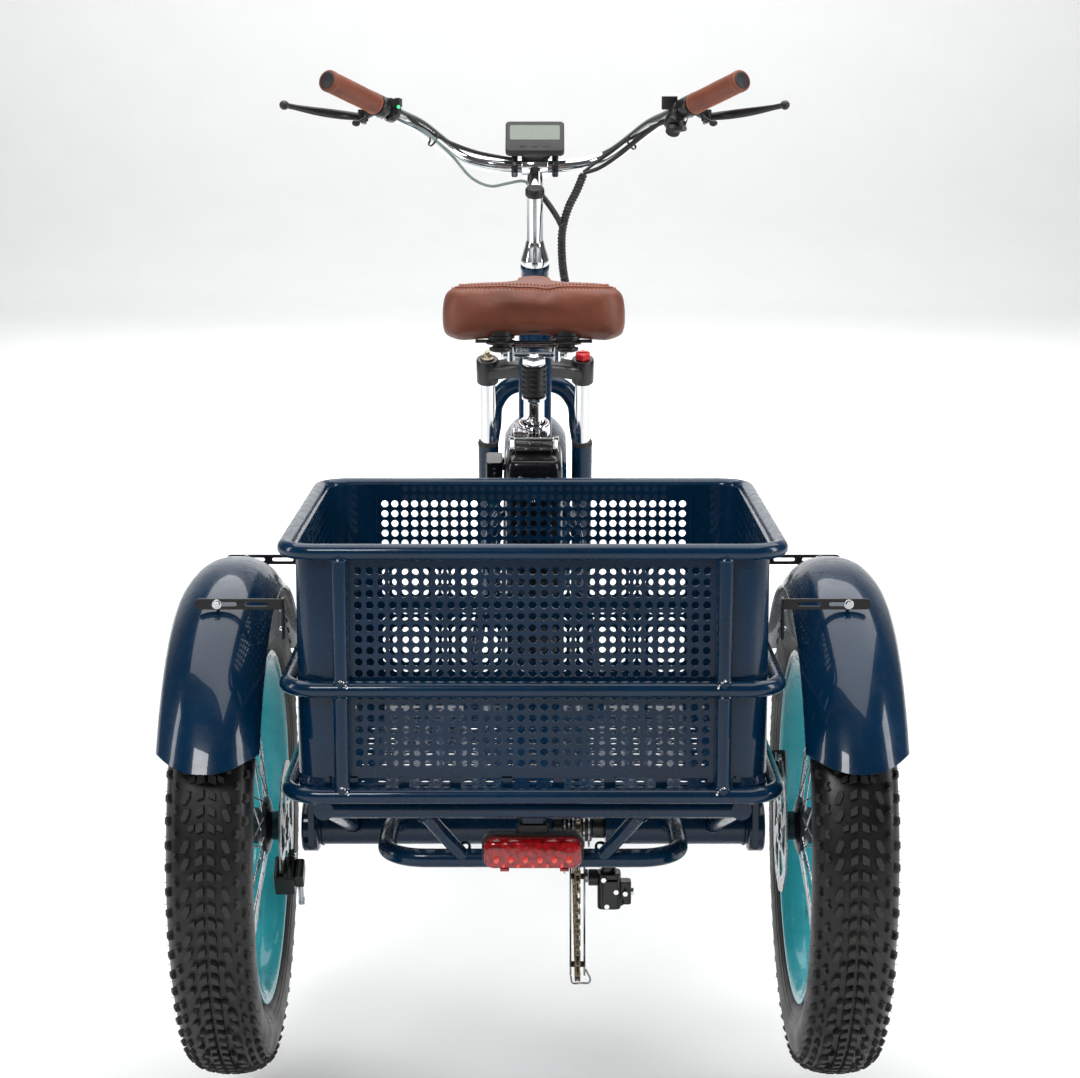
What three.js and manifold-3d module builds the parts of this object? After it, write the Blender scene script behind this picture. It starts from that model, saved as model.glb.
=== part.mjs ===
// An electric fat-tyre cruiser tricycle, in millimetres, +X to the rider's right, +Y forward, +Z up.
// Places are first given from the middle of the rear axle line on the ground; the whole group is then
// moved back by half the distance between the two ends, so its origin is under the middle of its box.
import * as THREE from "three";
import { mergeVertices } from "three/addons/utils/BufferGeometryUtils.js";
import Module from "manifold-3d";

const wasm = await Module();
wasm.setup();

// ---- driving dimensions ----
const GAP = 0.3; // air between two pieces that touch
const TYRE_R = 290; // 20 x 4.0 tyre
const TYRE_W = 97;
const HALF_TRACK = 352;
const WHEELBASE = 1350;
const RIM_R = 209; // flange of the 406 mm rim
const RIM_W = 80;
const WHEEL_SIDES = 32; // with this count a flat facet of each tyre lies on the ground
const AXLE_TUBE_R = 22;

const RING_R = 9; // basket ring tube
const RING_HALF_W = 267; // ring tube centre, each side
const RING_REAR = -250;
const RING_FRONT = 238;
const RING_CORNER = 36;
const RING_Z = { top: 665, middle: 515, bottom: 397 };
const POST_X = 206;
const TRAY_WALL = 2;
const RACK_Z = 376;
const RACK_R = 11;

const HEAD_LEAN = THREE.MathUtils.degToRad(21); // the steering axis leans back from the vertical
const FORK_OFFSET = 48;
const LEG_X = 78;
const LEG_Y = 30;
const HEAD_LOW = 506; // along the steering axis, from the front axle's foot on it
const HEAD_HIGH = 668;

const SEAT_LEAN = THREE.MathUtils.degToRad(18);
const CRANK = { y: 553, z: 300 };
const CRANK_LENGTH = 170;
const SEAT_TUBE_LENGTH = 427;
const POST_R = 13.6;
const BAR_R = 11.1;
const CHAIN_X = 53;

// ---- materials ----
const paint = (color, roughness, metalness) => () =>
  new THREE.MeshStandardMaterial({ color, roughness, metalness });
const NAVY = paint(0x0b2f52, 0.22, 0.25);
const AQUA = paint(0x49b9c0, 0.35, 0.2);
const CHROME = paint(0xd5d8da, 0.12, 1);
const BLACK = paint(0x17181a, 0.45, 0.1);
const RUBBER = paint(0x1b1b1c, 0.85, 0);
const LEATHER = paint(0x96503c, 0.55, 0);
const STEEL = paint(0x9a9c9e, 0.35, 0.9);
const RED = paint(0xa80f16, 0.2, 0);
const BRASS = paint(0xa98a52, 0.4, 0.8);

// ---- small helpers ----
const V = (x, y, z) => new THREE.Vector3(x, y, z);
const deg = THREE.MathUtils.degToRad;
const X_AXIS = V(1, 0, 0);
const Y_AXIS = V(0, 1, 0);

// A closed geometry as a manifold solid.
function solid(geometry) {
  const bare = geometry.clone();
  bare.deleteAttribute("normal");
  bare.deleteAttribute("uv");
  const merged = mergeVertices(bare, 1e-3);
  return new wasm.Manifold(
    new wasm.Mesh({
      numProp: 3,
      vertProperties: merged.attributes.position.array,
      triVerts: new Uint32Array(merged.index.array),
    }),
  );
}

// A manifold solid as a geometry.
function geometryOf(body) {
  const mesh = body.getMesh();
  const geometry = new THREE.BufferGeometry();
  geometry.setAttribute("position", new THREE.BufferAttribute(new Float32Array(mesh.vertProperties), 3));
  geometry.setIndex(new THREE.BufferAttribute(new Uint32Array(mesh.triVerts), 1));
  geometry.computeVertexNormals();
  return geometry;
}

const join = (...parts) => geometryOf(parts.flat(2).map(solid).reduce((a, b) => a.add(b)));
const cut = (from, ...parts) =>
  geometryOf(parts.flat(2).map(solid).reduce((a, b) => a.subtract(b), solid(from)));
const common = (a, b) => geometryOf(solid(a).intersect(solid(b)));

const circle = (r, sides) =>
  new THREE.Shape(
    Array.from({ length: sides }, (_, i) => {
      const a = ((i + 0.5) * 2 * Math.PI) / sides;
      return new THREE.Vector2(r * Math.cos(a), r * Math.sin(a));
    }),
  );

// A round bar between two points.
function rod(from, to, r, sides = 10, rEnd = r) {
  const length = from.distanceTo(to);
  const turn = new THREE.Quaternion().setFromUnitVectors(Y_AXIS, to.clone().sub(from).normalize());
  const middle = from.clone().add(to).multiplyScalar(0.5);
  return new THREE.CylinderGeometry(rEnd, r, length, sides)
    .applyQuaternion(turn)
    .translate(middle.x, middle.y, middle.z);
}

// A round bar across the tricycle, from x1 to x2.
const spindle = (x1, x2, y, z, r, sides = 16) => rod(V(x1, y, z), V(x2, y, z), r, sides);

// A tube along a smooth curve.
function pipe(points, r, steps, sides = 10) {
  const path = new THREE.CatmullRomCurve3(points, false, "centripetal");
  return new THREE.ExtrudeGeometry(circle(r, sides), { steps, bevelEnabled: false, extrudePath: path });
}

const block = (w, d, h, x, y, z) => new THREE.BoxGeometry(w, d, h).translate(x, y, z);

// A rounded rectangle as a shape, centred on (x, y).
function roundedShape(w, h, r, x = 0, y = 0) {
  const s = new THREE.Shape();
  const [a, b] = [w / 2, h / 2];
  s.moveTo(x - a + r, y - b);
  s.lineTo(x + a - r, y - b);
  s.absarc(x + a - r, y - b + r, r, -Math.PI / 2, 0);
  s.absarc(x + a - r, y + b - r, r, 0, Math.PI / 2);
  s.absarc(x - a + r, y + b - r, r, Math.PI / 2, Math.PI);
  s.absarc(x - a + r, y - b + r, r, Math.PI, 1.5 * Math.PI);
  return s;
}

// A flat plate with the given outline, its thickness from z1 to z2.
const plate = (shape, z1, z2, curveSegments = 4) =>
  new THREE.ExtrudeGeometry(shape, { depth: z2 - z1, bevelEnabled: false, curveSegments })
    .translate(0, 0, z1);

// A closed profile of [radius, x] points turned about the X axis.
function turned(profile, sides, phase = 0) {
  const points = profile.map(([r, x]) => new THREE.Vector2(r, x));
  return new THREE.LatheGeometry(points, sides, phase).rotateZ(-Math.PI / 2);
}

const group = new THREE.Group();
const whole = new THREE.Group();
whole.add(group);

function add(name, geometry, material, parent = group) {
  const mesh = new THREE.Mesh(geometry, material());
  mesh.name = name;
  parent.add(mesh);
  return mesh;
}

// ---- wheels ----
// Radii are to the flats, so a vertex sits a little further out.
const toCorner = 1 / Math.cos(Math.PI / WHEEL_SIDES);
const wheelRing = (profile) =>
  turned([...profile, profile[0]].map(([r, x]) => [r * toCorner, x]), WHEEL_SIDES, Math.PI / WHEEL_SIDES);

function tyre() {
  const half = TYRE_W / 2;
  return wheelRing([
    [RIM_R + 1, -30],
    [248, -half],
    [274, -41],
    [TYRE_R, -22],
    [TYRE_R, 22],
    [274, 41],
    [248, half],
    [RIM_R + 1, 30],
  ]);
}

function rim() {
  const half = RIM_W / 2;
  return wheelRing([
    [192, -24],
    [RIM_R, -half],
    [RIM_R - 6, -28],
    [RIM_R - 6, 28],
    [RIM_R, half],
    [192, 24],
  ]);
}

// Hub shell with its two flanges and the crossed spokes, as one body. Its inner end is at -x.
function hub(shellR, flangeR) {
  const shell = turned(
    [[0, -56], [17, -56], [17, -38], [flangeR, -36], [flangeR, -31], [shellR, -28], [shellR, 28],
      [flangeR, 31], [flangeR, 36], [16, 38], [16, 50], [0, 50]],
    16,
  );
  const spokes = [];
  const pairs = 6;
  for (let i = 0; i < pairs; i++) {
    for (const side of [-1, 1]) {
      const a = ((i + side * 0.25) * 2 * Math.PI) / pairs;
      const b = a + side * 0.45 * (i % 2 ? 1 : -1);
      const from = V(side * 33.5, (flangeR - 5) * Math.sin(b), (flangeR - 5) * Math.cos(b));
      spokes.push(rod(from, V(side * 9, 191 * Math.sin(a), 191 * Math.cos(a)), 1.6, 3));
    }
  }
  return join(shell, spokes);
}

const rotor = () =>
  turned([[22, 0], [80, 0], [80, 2], [22, 2], [22, 0]], 24);

// Mirrored copies turn their profile over, so each side's wheel is built facing outwards.
function wheel(side, prefix, x, y, shellR, flangeR) {
  const place = new THREE.Group();
  place.position.set(x, y, TYRE_R);
  place.rotation.z = side < 0 ? Math.PI : 0;
  group.add(place);
  add(prefix + "_tyre", tyre(), RUBBER, place);
  add(prefix + "_rim", rim(), AQUA, place);
  add(prefix + "_hub", hub(shellR, flangeR), BLACK, place);
  add(prefix + "_rotor", rotor(), STEEL, place).position.x = -58.5;
}
wheel(-1, "left", -HALF_TRACK, 0, 22, 34);
wheel(1, "right", HALF_TRACK, 0, 22, 34);

// ---- welded main frame ----
const headFoot = V(
  0,
  WHEELBASE - FORK_OFFSET * Math.cos(HEAD_LEAN),
  TYRE_R - FORK_OFFSET * Math.sin(HEAD_LEAN),
);
const headUp = V(0, -Math.sin(HEAD_LEAN), Math.cos(HEAD_LEAN));
const onHead = (h) => headFoot.clone().addScaledVector(headUp, h);
const seatUp = V(0, -Math.sin(SEAT_LEAN), Math.cos(SEAT_LEAN));
const onSeat = (h) => V(0, CRANK.y, CRANK.z).addScaledVector(seatUp, h);

const headTube = rod(onHead(HEAD_LOW), onHead(HEAD_HIGH), 22, 16);
const downTube = pipe(
  [onHead(574), V(0, 1050, 690), V(0, 960, 520), V(0, 850, 400), V(0, 700, 326), V(0, CRANK.y, CRANK.z)],
  26, 13, 10,
);
const seatTube = rod(onSeat(0), onSeat(SEAT_TUBE_LENGTH), 17, 14);
const boom = rod(V(-14, CRANK.y, CRANK.z), V(-14, 0, TYRE_R), 20, 10);
const gusset = pipe([V(0, 880, 430), V(0, 700, 420), onSeat(150)], 14, 6, 8);
const shellBB = spindle(-34, 34, CRANK.y, CRANK.z, 24, 14);
const rackStays = [-1, 1].map((s) =>
  pipe(
    [onSeat(322).setX(s * 8), onSeat(304).setX(s * 48), V(s * 62, 392, 522), V(s * 84, 262, RACK_Z + 6)],
    8,
    10,
    8,
  ),
);
const axleLine = spindle(-300, 300, 0, TYRE_R, AXLE_TUBE_R + GAP, 12);
const railFront = RING_FRONT - 23;
const rackFrontRail = spindle(-300, 300, railFront, RACK_Z, RACK_R + GAP, 10);
const headBore = rod(onHead(HEAD_LOW - 10), onHead(HEAD_HIGH + 10), 17, 16);
const seatBore = rod(onSeat(60), onSeat(SEAT_TUBE_LENGTH + 10), 14.4, 16);
const crankBore = spindle(-50, 50, CRANK.y, CRANK.z, 13, 14);
add(
  "main_frame",
  cut(
    join(headTube, downTube, seatTube, boom, gusset, shellBB, rackStays),
    headBore,
    seatBore,
    crankBore,
    axleLine,
    rackFrontRail),
  NAVY,
);

// ---- rear subframe: axle tube, dropout plates, rack and bumper loop ----
const railRear = RING_REAR + 25;
const railX = 228;
const rackLoop = [
  spindle(-railX, railX, railRear, RACK_Z, RACK_R, 10),
  spindle(-railX, railX, railFront, RACK_Z, RACK_R, 10),
  ...[-1, 1].map((s) => rod(V(s * railX, railRear, RACK_Z), V(s * railX, railFront, RACK_Z), RACK_R, 10)),
];
const BUMPER = { z: 303, halfW: 166, rear: -172, corner: 46, r: 10.5 };
function bumperLoop() {
  const { z, halfW, rear, corner, r } = BUMPER;
  const bend = corner * (1 - Math.SQRT1_2);
  const half = [V(halfW - 20, 0, z - 8), V(halfW, -40, z), V(halfW, rear + corner, z),
    V(halfW - bend, rear + bend, z), V(halfW - corner, rear, z), V(0, rear, z)];
  const otherHalf = half.slice(0, -1).map((p) => p.clone().setX(-p.x)).reverse();
  return pipe([...half, ...otherHalf], r, 18, 8);
}
const subframe = join(
  spindle(-262, 18, 0, TYRE_R, AXLE_TUBE_R, 12),
  spindle(90, 262, 0, TYRE_R, AXLE_TUBE_R, 12),
  rackLoop,
  bumperLoop(),
  [-1, 1].map((s) => [
    spindle(s * 255, s * 274, 0, TYRE_R, 30, 16),
    plate(roundedShape(64, 118, 8, 0, TYRE_R + 36), 0, 7).rotateX(Math.PI / 2).rotateZ(Math.PI / 2)
      .translate(s * 262 - 3.5, 0, 0),
    rod(V(s * 258, 0, RACK_Z - 6), V(s * (railX - 4), 0, RACK_Z), 9, 8),
    rod(V(s * 212, 0, TYRE_R), V(s * railX, railRear, RACK_Z), 9, 8),
    rod(V(s * 212, 0, TYRE_R), V(s * railX, railFront, RACK_Z), 9, 8),
    rod(V(s * 76, BUMPER.rear, BUMPER.z), V(s * 124, railRear, RACK_Z), 8, 8),
  ]),
);
add("rear_subframe", subframe, NAVY);

// ---- basket ----
// A tube ring round the basket at one height, with an eight-sided section.
function ring(z) {
  const flat = RING_R * Math.tan(Math.PI / 8);
  const slope = RING_R - flat;
  const middle = (RING_FRONT + RING_REAR) / 2;
  const depth = RING_FRONT - RING_REAR;
  const outline = roundedShape(2 * (RING_HALF_W + flat), depth + 2 * flat, RING_CORNER + flat, 0, middle);
  outline.holes.push(roundedShape(2 * (RING_HALF_W - flat), depth - 2 * flat, RING_CORNER - flat, 0, middle));
  return new THREE.ExtrudeGeometry(outline, {
    depth: 2 * flat, bevelThickness: slope, bevelSize: slope, bevelSegments: 1, curveSegments: 3,
  }).translate(0, 0, z - flat);
}
const posts = [-POST_X, POST_X].flatMap((x) =>
  [RING_REAR, RING_FRONT].map((y) => rod(V(x, y, RING_Z.bottom), V(x, y, RING_Z.top), RING_R - 0.4, 8)),
);
add("basket_frame", join(ring(RING_Z.top), ring(RING_Z.middle), ring(RING_Z.bottom), posts), NAVY);

const inner = {
  halfW: RING_HALF_W - RING_R - 1,
  rear: RING_REAR + RING_R + 1,
  front: RING_FRONT - RING_R - 1,
};
const trayShape = (inset) =>
  roundedShape(2 * (inner.halfW - inset), inner.front - inner.rear - 2 * inset, RING_CORNER - inset, 0,
    (inner.front + inner.rear) / 2);
const trayLow = RING_Z.bottom - 6;
const trayHigh = RING_Z.top + 2;
add(
  "basket_tray",
  cut(
    plate(trayShape(0), trayLow, trayHigh, 3),
    plate(trayShape(TRAY_WALL), trayLow + TRAY_WALL, trayHigh + 10, 3),
  ),
  NAVY,
);

// ---- rear fenders and their stays ----
// A crowned sheet ring about a wheel axle, kept between two angles from the forward horizontal.
function fender(outerR, halfW, from, to) {
  const sheet = 2;
  const drop = 34;
  const crown = (r) => {
    const arc = [];
    for (let i = -2; i <= 2; i++) {
      const t = i / 2;
      arc.push([r - drop * Math.abs(t) ** 2.6, t * (halfW - (outerR - r))]);
    }
    return arc;
  };
  const profile = [...crown(outerR), ...crown(outerR - sheet).reverse()];
  const ringBody = turned([...profile, profile[0]], 32);
  const wedge = new THREE.Shape();
  wedge.moveTo(0, 0);
  for (let i = 0; i <= 6; i++) {
    const a = deg(from + ((to - from) * i) / 6);
    wedge.lineTo(outerR * 1.4 * Math.cos(a), outerR * 1.4 * Math.sin(a));
  }
  const sector = plate(wedge, -100, 100).applyMatrix4(
    new THREE.Matrix4().makeBasis(V(0, 1, 0), V(0, 0, 1), V(1, 0, 0)),
  );
  return common(ringBody, sector);
}
const REAR_FENDER_R = 321;
const FENDER_HALF_W = 56;
const STAY = { y: 141, z: 587, h: 12, t: 3, boltX: HALF_TRACK };
const fenderShape = (grow) =>
  fender(REAR_FENDER_R + grow, FENDER_HALF_W + grow, 30 - 2 * grow, 153 + 2 * grow);
for (const side of [-1, 1]) {
  const name = side < 0 ? "left" : "right";
  add(name + "_rear_fender", fenderShape(0).translate(side * HALF_TRACK, 0, TYRE_R), NAVY);
  const room = fenderShape(GAP).translate(side * HALF_TRACK, 0, TYRE_R);
  for (const end of [-1, 1]) {
    const y = end * STAY.y;
    const from = RING_HALF_W + RING_R + 1;
    const to = STAY.boltX + 26;
    const arm = block(to - from, STAY.t, STAY.h, (side * (to + from)) / 2, y, STAY.z);
    const tab = block(STAY.t, 14, 46, side * (from + 1.5), y - end * 5.5, STAY.z - 17);
    const boltAt = (along) => V(side * STAY.boltX, y + end * along, STAY.z);
    const clear = cut(join(arm, tab, rod(boltAt(-9), boltAt(4), 5, 8)), room);
    const pieces = solid(clear).decompose().sort((a, b) => b.volume() - a.volume());
    add(`${name}_fender_stay_${end < 0 ? "rear" : "front"}`, geometryOf(pieces[0]), BLACK);
  }
}

// ---- tail light ----
const LIGHT = { y: -191, z: 318, w: 113, h: 38 };
add(
  "tail_light_housing",
  join(
    plate(roundedShape(LIGHT.w, LIGHT.h, 12), 0, 14, 3)
      .rotateX(Math.PI / 2)
      .translate(0, LIGHT.y, LIGHT.z + 4),
    block(30, 3, 40, 0, LIGHT.y - 1.6, LIGHT.z + 38),
    block(30, 24, 3, 0, LIGHT.y - 12, RACK_Z + RACK_R - 0.6 - 18),
  ),
  BLACK,
);
add(
  "tail_light_lens",
  plate(roundedShape(LIGHT.w - 4, LIGHT.h - 5, 11), 0, 17, 3).rotateX(Math.PI / 2)
    .translate(0, LIGHT.y - 14 - GAP, LIGHT.z + 3),
  RED,
);

// ---- brakes on the rear discs ----
// The caliper straddles the disc at an angle round the axle, with its arm inboard.
function caliper(discX, y, z, angle, inward) {
  const a = deg(angle);
  const jaw = cut(block(24, 34, 34, inward * 4, 0, 72), block(5, 60, 40, 0, 0, 64));
  const arm = rod(V(inward * 22, -4, 74), V(inward * 22, -34, 88), 3.5, 8);
  const boss = rod(V(inward * 15, 0, 72), V(inward * 26, 0, 72), 10, 10);
  return join(jaw, boss, arm).rotateX(-a).translate(discX, y, z);
}
add("left_caliper", caliper(-HALF_TRACK + 57.5, 0, TYRE_R, 232, 1), BLACK);
add("right_caliper", caliper(HALF_TRACK - 57.5, 0, TYRE_R, 24, -1), BLACK);

// ---- drivetrain ----
const COG_R = 36;
const RING_GEAR_R = 84;
const LINK = 4.5;
add(
  "cassette",
  turned(
    [
      [0, 19], [16, 19], [16, 36], [57, 36], [57, 38], [50, 41], [50, 43], [43, 46], [43, 48],
      [COG_R - LINK - GAP, 48.2], [COG_R - LINK - GAP, 57.8],
      [26, 58], [26, 70], [16, 70], [16, 89], [0, 89],
    ],
    20,
  ).translate(0, 0, TYRE_R),
  STEEL,
);

// Crank arms, chainring and spindle as one body; the right arm points forward at rest.
const armShape = roundedShape(CRANK_LENGTH + 34, 30, 14, CRANK_LENGTH / 2, 0);
const crankArm = (x, dir) =>
  plate(armShape, 0, 13, 3)
    .applyMatrix4(new THREE.Matrix4().makeBasis(V(0, dir, 0), V(0, 0, dir), V(1, 0, 0)))
    .translate(x, CRANK.y, CRANK.z);
const ARM_X = 74;
add(
  "crankset",
  join(
    spindle(-ARM_X - 2, ARM_X + 2, CRANK.y, CRANK.z, 11, 12),
    turned(
      [
        [0, CHAIN_X - 2], [RING_GEAR_R - LINK - GAP, CHAIN_X - 2],
        [RING_GEAR_R - LINK - GAP, CHAIN_X + 2], [0, CHAIN_X + 2],
      ],
      28,
    ).translate(0, CRANK.y, CRANK.z),
    crankArm(ARM_X, 1),
    crankArm(-ARM_X - 13, -1),
  ),
  CHROME,
);
for (const side of [-1, 1]) {
  const x = side * (ARM_X + 13 + 1);
  const y = CRANK.y + side * CRANK_LENGTH;
  const body = block(88, 82, 22, x + side * 54, y, CRANK.z);
  const spindleRod = spindle(x + side * 0.5, x + side * 20, y, CRANK.z, 7, 10);
  add((side < 0 ? "left" : "right") + "_pedal", join(body, spindleRod), BLACK);
}

// The chain runs over the ring gear, back over a middle cog, through the derailleur's two wheels and forward.
const GUIDE = { y: 16, z: 222, r: 17 };
const TENSION = { y: -2, z: 118, r: 17 };
function chainOutline(offset) {
  const pitch = [];
  const arc = (cy, cz, r, from, to, n) => {
    for (let i = 0; i <= n; i++) {
      const a = deg(from + ((to - from) * i) / n);
      pitch.push([cy + (r + offset) * Math.cos(a), cz + (r + offset) * Math.sin(a)]);
    }
  };
  arc(CRANK.y, CRANK.z, RING_GEAR_R, 99, -80, 14);
  arc(TENSION.y, TENSION.z, TENSION.r, -74, -190, 5);
  pitch.push([GUIDE.y - GUIDE.r - 3 - offset, GUIDE.z - 2]);
  arc(0, TYRE_R, COG_R, 222, 97, 8);
  return new THREE.Shape(pitch.map(([y, z]) => new THREE.Vector2(y, z)));
}
const CHAIN_W = 7;
const chainLoop = cut(
  plate(chainOutline(LINK - 0.5), -CHAIN_W / 2, CHAIN_W / 2),
  plate(chainOutline(0.5 - LINK), -CHAIN_W, CHAIN_W),
);
const standing = new THREE.Matrix4().makeBasis(V(0, 1, 0), V(0, 0, 1), V(1, 0, 0));
add("chain", chainLoop.applyMatrix4(standing).translate(CHAIN_X, 0, 0), BRASS);
add(
  "derailleur_body",
  join(
    block(30, 30, 46, 91, 14, 207),
    rod(V(66, 12, 222), V(78, 12, 222), 10, 12),
    rod(V(86, 14, 222), V(98, 8, 257), 8, 8),
    block(16, 20, 28, 110, 14, 204),
  ),
  BLACK,
);
// The cage's two plates reach either side of the chain and carry its two wheels.
const cageX = [CHAIN_X - 9.5, CHAIN_X + 6.5];
const cagePlate = (x) => {
  const from = V(x, GUIDE.y, GUIDE.z);
  const to = V(x, TENSION.y, TENSION.z);
  const spine = to.clone().sub(from);
  const shape = roundedShape(spine.length() + 40, 30, 14, spine.length() / 2, 0);
  const up = V(1, 0, 0).cross(spine.clone().normalize());
  return plate(shape, 0, 3, 3).applyMatrix4(
    new THREE.Matrix4().makeBasis(spine.clone().normalize(), up, V(1, 0, 0)),
  ).translate(from.x, from.y, from.z);
};
add(
  "derailleur_cage",
  join(
    cageX.map(cagePlate),
    spindle(cageX[0] + 1, cageX[1] + 1, TENSION.y, TENSION.z, TENSION.r - LINK - 0.5, 14),
    spindle(cageX[0] + 1, cageX[1] + 1, GUIDE.y, GUIDE.z, TENSION.r - LINK - 4, 14),
    spindle(cageX[1] + 1, 65.6, 12, 226, 8, 12),
  ),
  STEEL,
);

// ---- battery behind the seat tube, on the seat tube's slope ----
const seatSide = new THREE.Group();
seatSide.position.set(0, CRANK.y, CRANK.z);
seatSide.rotation.x = SEAT_LEAN;
group.add(seatSide);
const BATTERY = { w: 74, d: 78, low: 128, high: 440, y: -75 };
add(
  "battery_case",
  plate(roundedShape(BATTERY.w, BATTERY.d, 14, 0, BATTERY.y), BATTERY.low, BATTERY.high, 3),
  BLACK,
  seatSide,
);
add(
  "battery_handle",
  join(
    block(7, 32, 5, -28, BATTERY.y + 8, BATTERY.high + 3.2),
    block(7, 32, 5, 28, BATTERY.y + 8, BATTERY.high + 3.2),
    block(63, 8, 5, 0, BATTERY.y - 8, BATTERY.high + 3.2),
    rod(V(-33, BATTERY.y + 24, BATTERY.high + 4.4), V(33, BATTERY.y + 24, BATTERY.high + 4.4), 4, 8),
  ),
  CHROME,
  seatSide,
);
add("switch_box", join(block(22, 34, 30, -52, -62, 408), block(14, 8, 12, -46, -44, 408)), BLACK, seatSide);

// ---- seat clamp, post and saddle ----
const CLAMP = { low: 428, high: 446 };
add(
  "seat_clamp",
  cut(
    join(
      rod(V(0, 0, CLAMP.low), V(0, 0, CLAMP.high), 21, 16),
      block(16, 16, CLAMP.high - CLAMP.low - 4, 0, -24, (CLAMP.low + CLAMP.high) / 2),
    ),
    rod(V(0, 0, CLAMP.low - 5), V(0, 0, CLAMP.high + 5), 15, 16),
  ),
  CHROME,
  seatSide,
);
add(
  "seat_clamp_lever",
  join(
    rod(V(-27, -25, 437), V(-8.4, -25, 437), 6, 10),
    block(5, 44, 11, -25.5, -6, 437),
  ),
  BLACK,
  seatSide,
);
const POST = { low: 300, top: 485 };
add(
  "seatpost",
  join(
    rod(V(0, 0, POST.low), V(0, 0, POST.top), POST_R, 16),
    rod(V(0, 0, POST.top - 5), V(0, 0, POST.top), 16, 16),
  ),
  CHROME,
  seatSide,
);
const BOOT = { low: POST.top + GAP, high: 530 };
const SEAT_TOP = 546;
add(
  "seatpost_boot",
  cut(
    rod(V(0, 0, BOOT.low), V(0, 0, BOOT.high), 17, 14),
    rod(V(0, 0, BOOT.low - 9), V(0, 0, BOOT.high + 9), 13, 14),
  ),
  RUBBER,
  seatSide,
);
add(
  "seatpost_head",
  join(
    rod(V(0, 0, POST.top + 36), V(0, 0, BOOT.high + 8), 11, 14),
    rod(V(0, 0, BOOT.high + GAP), V(0, 0, BOOT.high + 12), 17, 12),
    rod(V(0, 0, BOOT.high + 8), V(0, 0, SEAT_TOP), 12, 12),
    rod(V(-40, 0, SEAT_TOP), V(40, 0, SEAT_TOP), 10, 12),
  ),
  CHROME,
  seatSide,
);
// The saddle is level, so it is placed apart from the sloping post.
const SADDLE = { low: 847, high: 912, rear: 292, nose: 566, rearHalfW: 121, noseHalfW: 34 };
const saddlePoint = onSeat(560);
add(
  "saddle_base",
  join(
    plate(saddleOutline(16), SADDLE.low - 8, SADDLE.low - GAP, 5),
    [-1, 1].map((s) => block(9, 190, 7, s * 34, saddlePoint.y + 14, SADDLE.low - 12)),
    [-1, 1].map((s) => {
      const bumper = (z) => V(s * 43, SADDLE.rear + 34, z);
      return rod(bumper(SADDLE.low - 24), bumper(SADDLE.low - GAP), 19, 12);
    }),
    block(150, 12, 6, 0, SADDLE.rear + 34, SADDLE.low - 22),
  ),
  BLACK,
);
function saddleOutline(inset) {
  const { rear, nose, rearHalfW, noseHalfW } = SADDLE;
  const w = rearHalfW - inset;
  const n = noseHalfW - inset * 0.6;
  const s = new THREE.Shape();
  s.moveTo(0, rear + inset);
  s.bezierCurveTo(w * 0.8, rear + inset, w, rear + inset + 4, w, rear + 62);
  s.bezierCurveTo(w, rear + 122, n + 8, rear + 130, n, nose - 56);
  s.bezierCurveTo(n - 2, nose - inset, n * 0.6, nose - inset, 0, nose - inset);
  s.bezierCurveTo(-n * 0.6, nose - inset, -n + 2, nose - inset, -n, nose - 56);
  s.bezierCurveTo(-n - 8, rear + 130, -w, rear + 122, -w, rear + 62);
  s.bezierCurveTo(-w, rear + inset + 4, -w * 0.8, rear + inset, 0, rear + inset);
  return s;
}
add("saddle_cushion", plate(saddleOutline(0), SADDLE.low, SADDLE.high, 5), LEATHER);

// ---- front wheel ----
wheel(1, "front", 0, WHEELBASE, 62, 70);

// ---- fork, in the frame of the steering axis ----
const steer = new THREE.Group();
steer.position.copy(headFoot);
steer.rotation.x = HEAD_LEAN;
group.add(steer);
const inWorld = (x, y, h) => V(x, y, h).applyAxisAngle(X_AXIS, HEAD_LEAN).add(headFoot);
const LOWER_TOP = 335;
const FRONT_FENDER_R = 334;
const CROWN = { low: 444, high: 486 };
const STANCHION_R = 13;
const bothLegs = (low, high, r, sides) =>
  [-1, 1].map((s) => rod(V(s * LEG_X, LEG_Y, low), V(s * LEG_X, LEG_Y, high), r, sides));
add(
  "fork_crown",
  join(
    bothLegs(262, CROWN.high - 4, STANCHION_R, 12),
    bothLegs(CROWN.low, CROWN.high, 18, 12),
    block(2 * LEG_X - 20, 46, 26, 0, 14, CROWN.high - 14),
    rod(V(0, 0, CROWN.high - 20), V(0, 0, HEAD_LOW - GAP), 21, 14),
    rod(V(0, 0, CROWN.high - 14), V(0, 0, HEAD_HIGH + GAP), 14, 14),
  ),
  BLACK,
  steer,
);
const dialAt = (above) => V(LEG_X, LEG_Y, CROWN.high + above);
add("lockout_dial", rod(dialAt(GAP), dialAt(13), 13, 14, 11), RED, steer);
const archSide = (s) => [V(s * 76, 44, 322), V(s * 71, 62, 346), V(s * 67, 66, 384), V(s * 45, 68, 414)];
add(
  "fork_lowers",
  cut(
    join(
      bothLegs(-16, LOWER_TOP, 17, 12),
      pipe([...archSide(-1), V(0, 68, 424), ...archSide(1).reverse()], 12, 18, 8),
      [-1, 1].map((s) => block(8, 48, 36, s * 67, 42, -4)),
    ),
    bothLegs(200, LOWER_TOP + 5, 14.2, 12),
  ),
  NAVY,
  steer,
);
add("front_caliper", caliper(-57.5, FORK_OFFSET, 0, -72, -1), BLACK, steer);
add("front_fender", fender(FRONT_FENDER_R, 52, 35, 168).translate(0, WHEELBASE, TYRE_R), NAVY);

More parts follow.
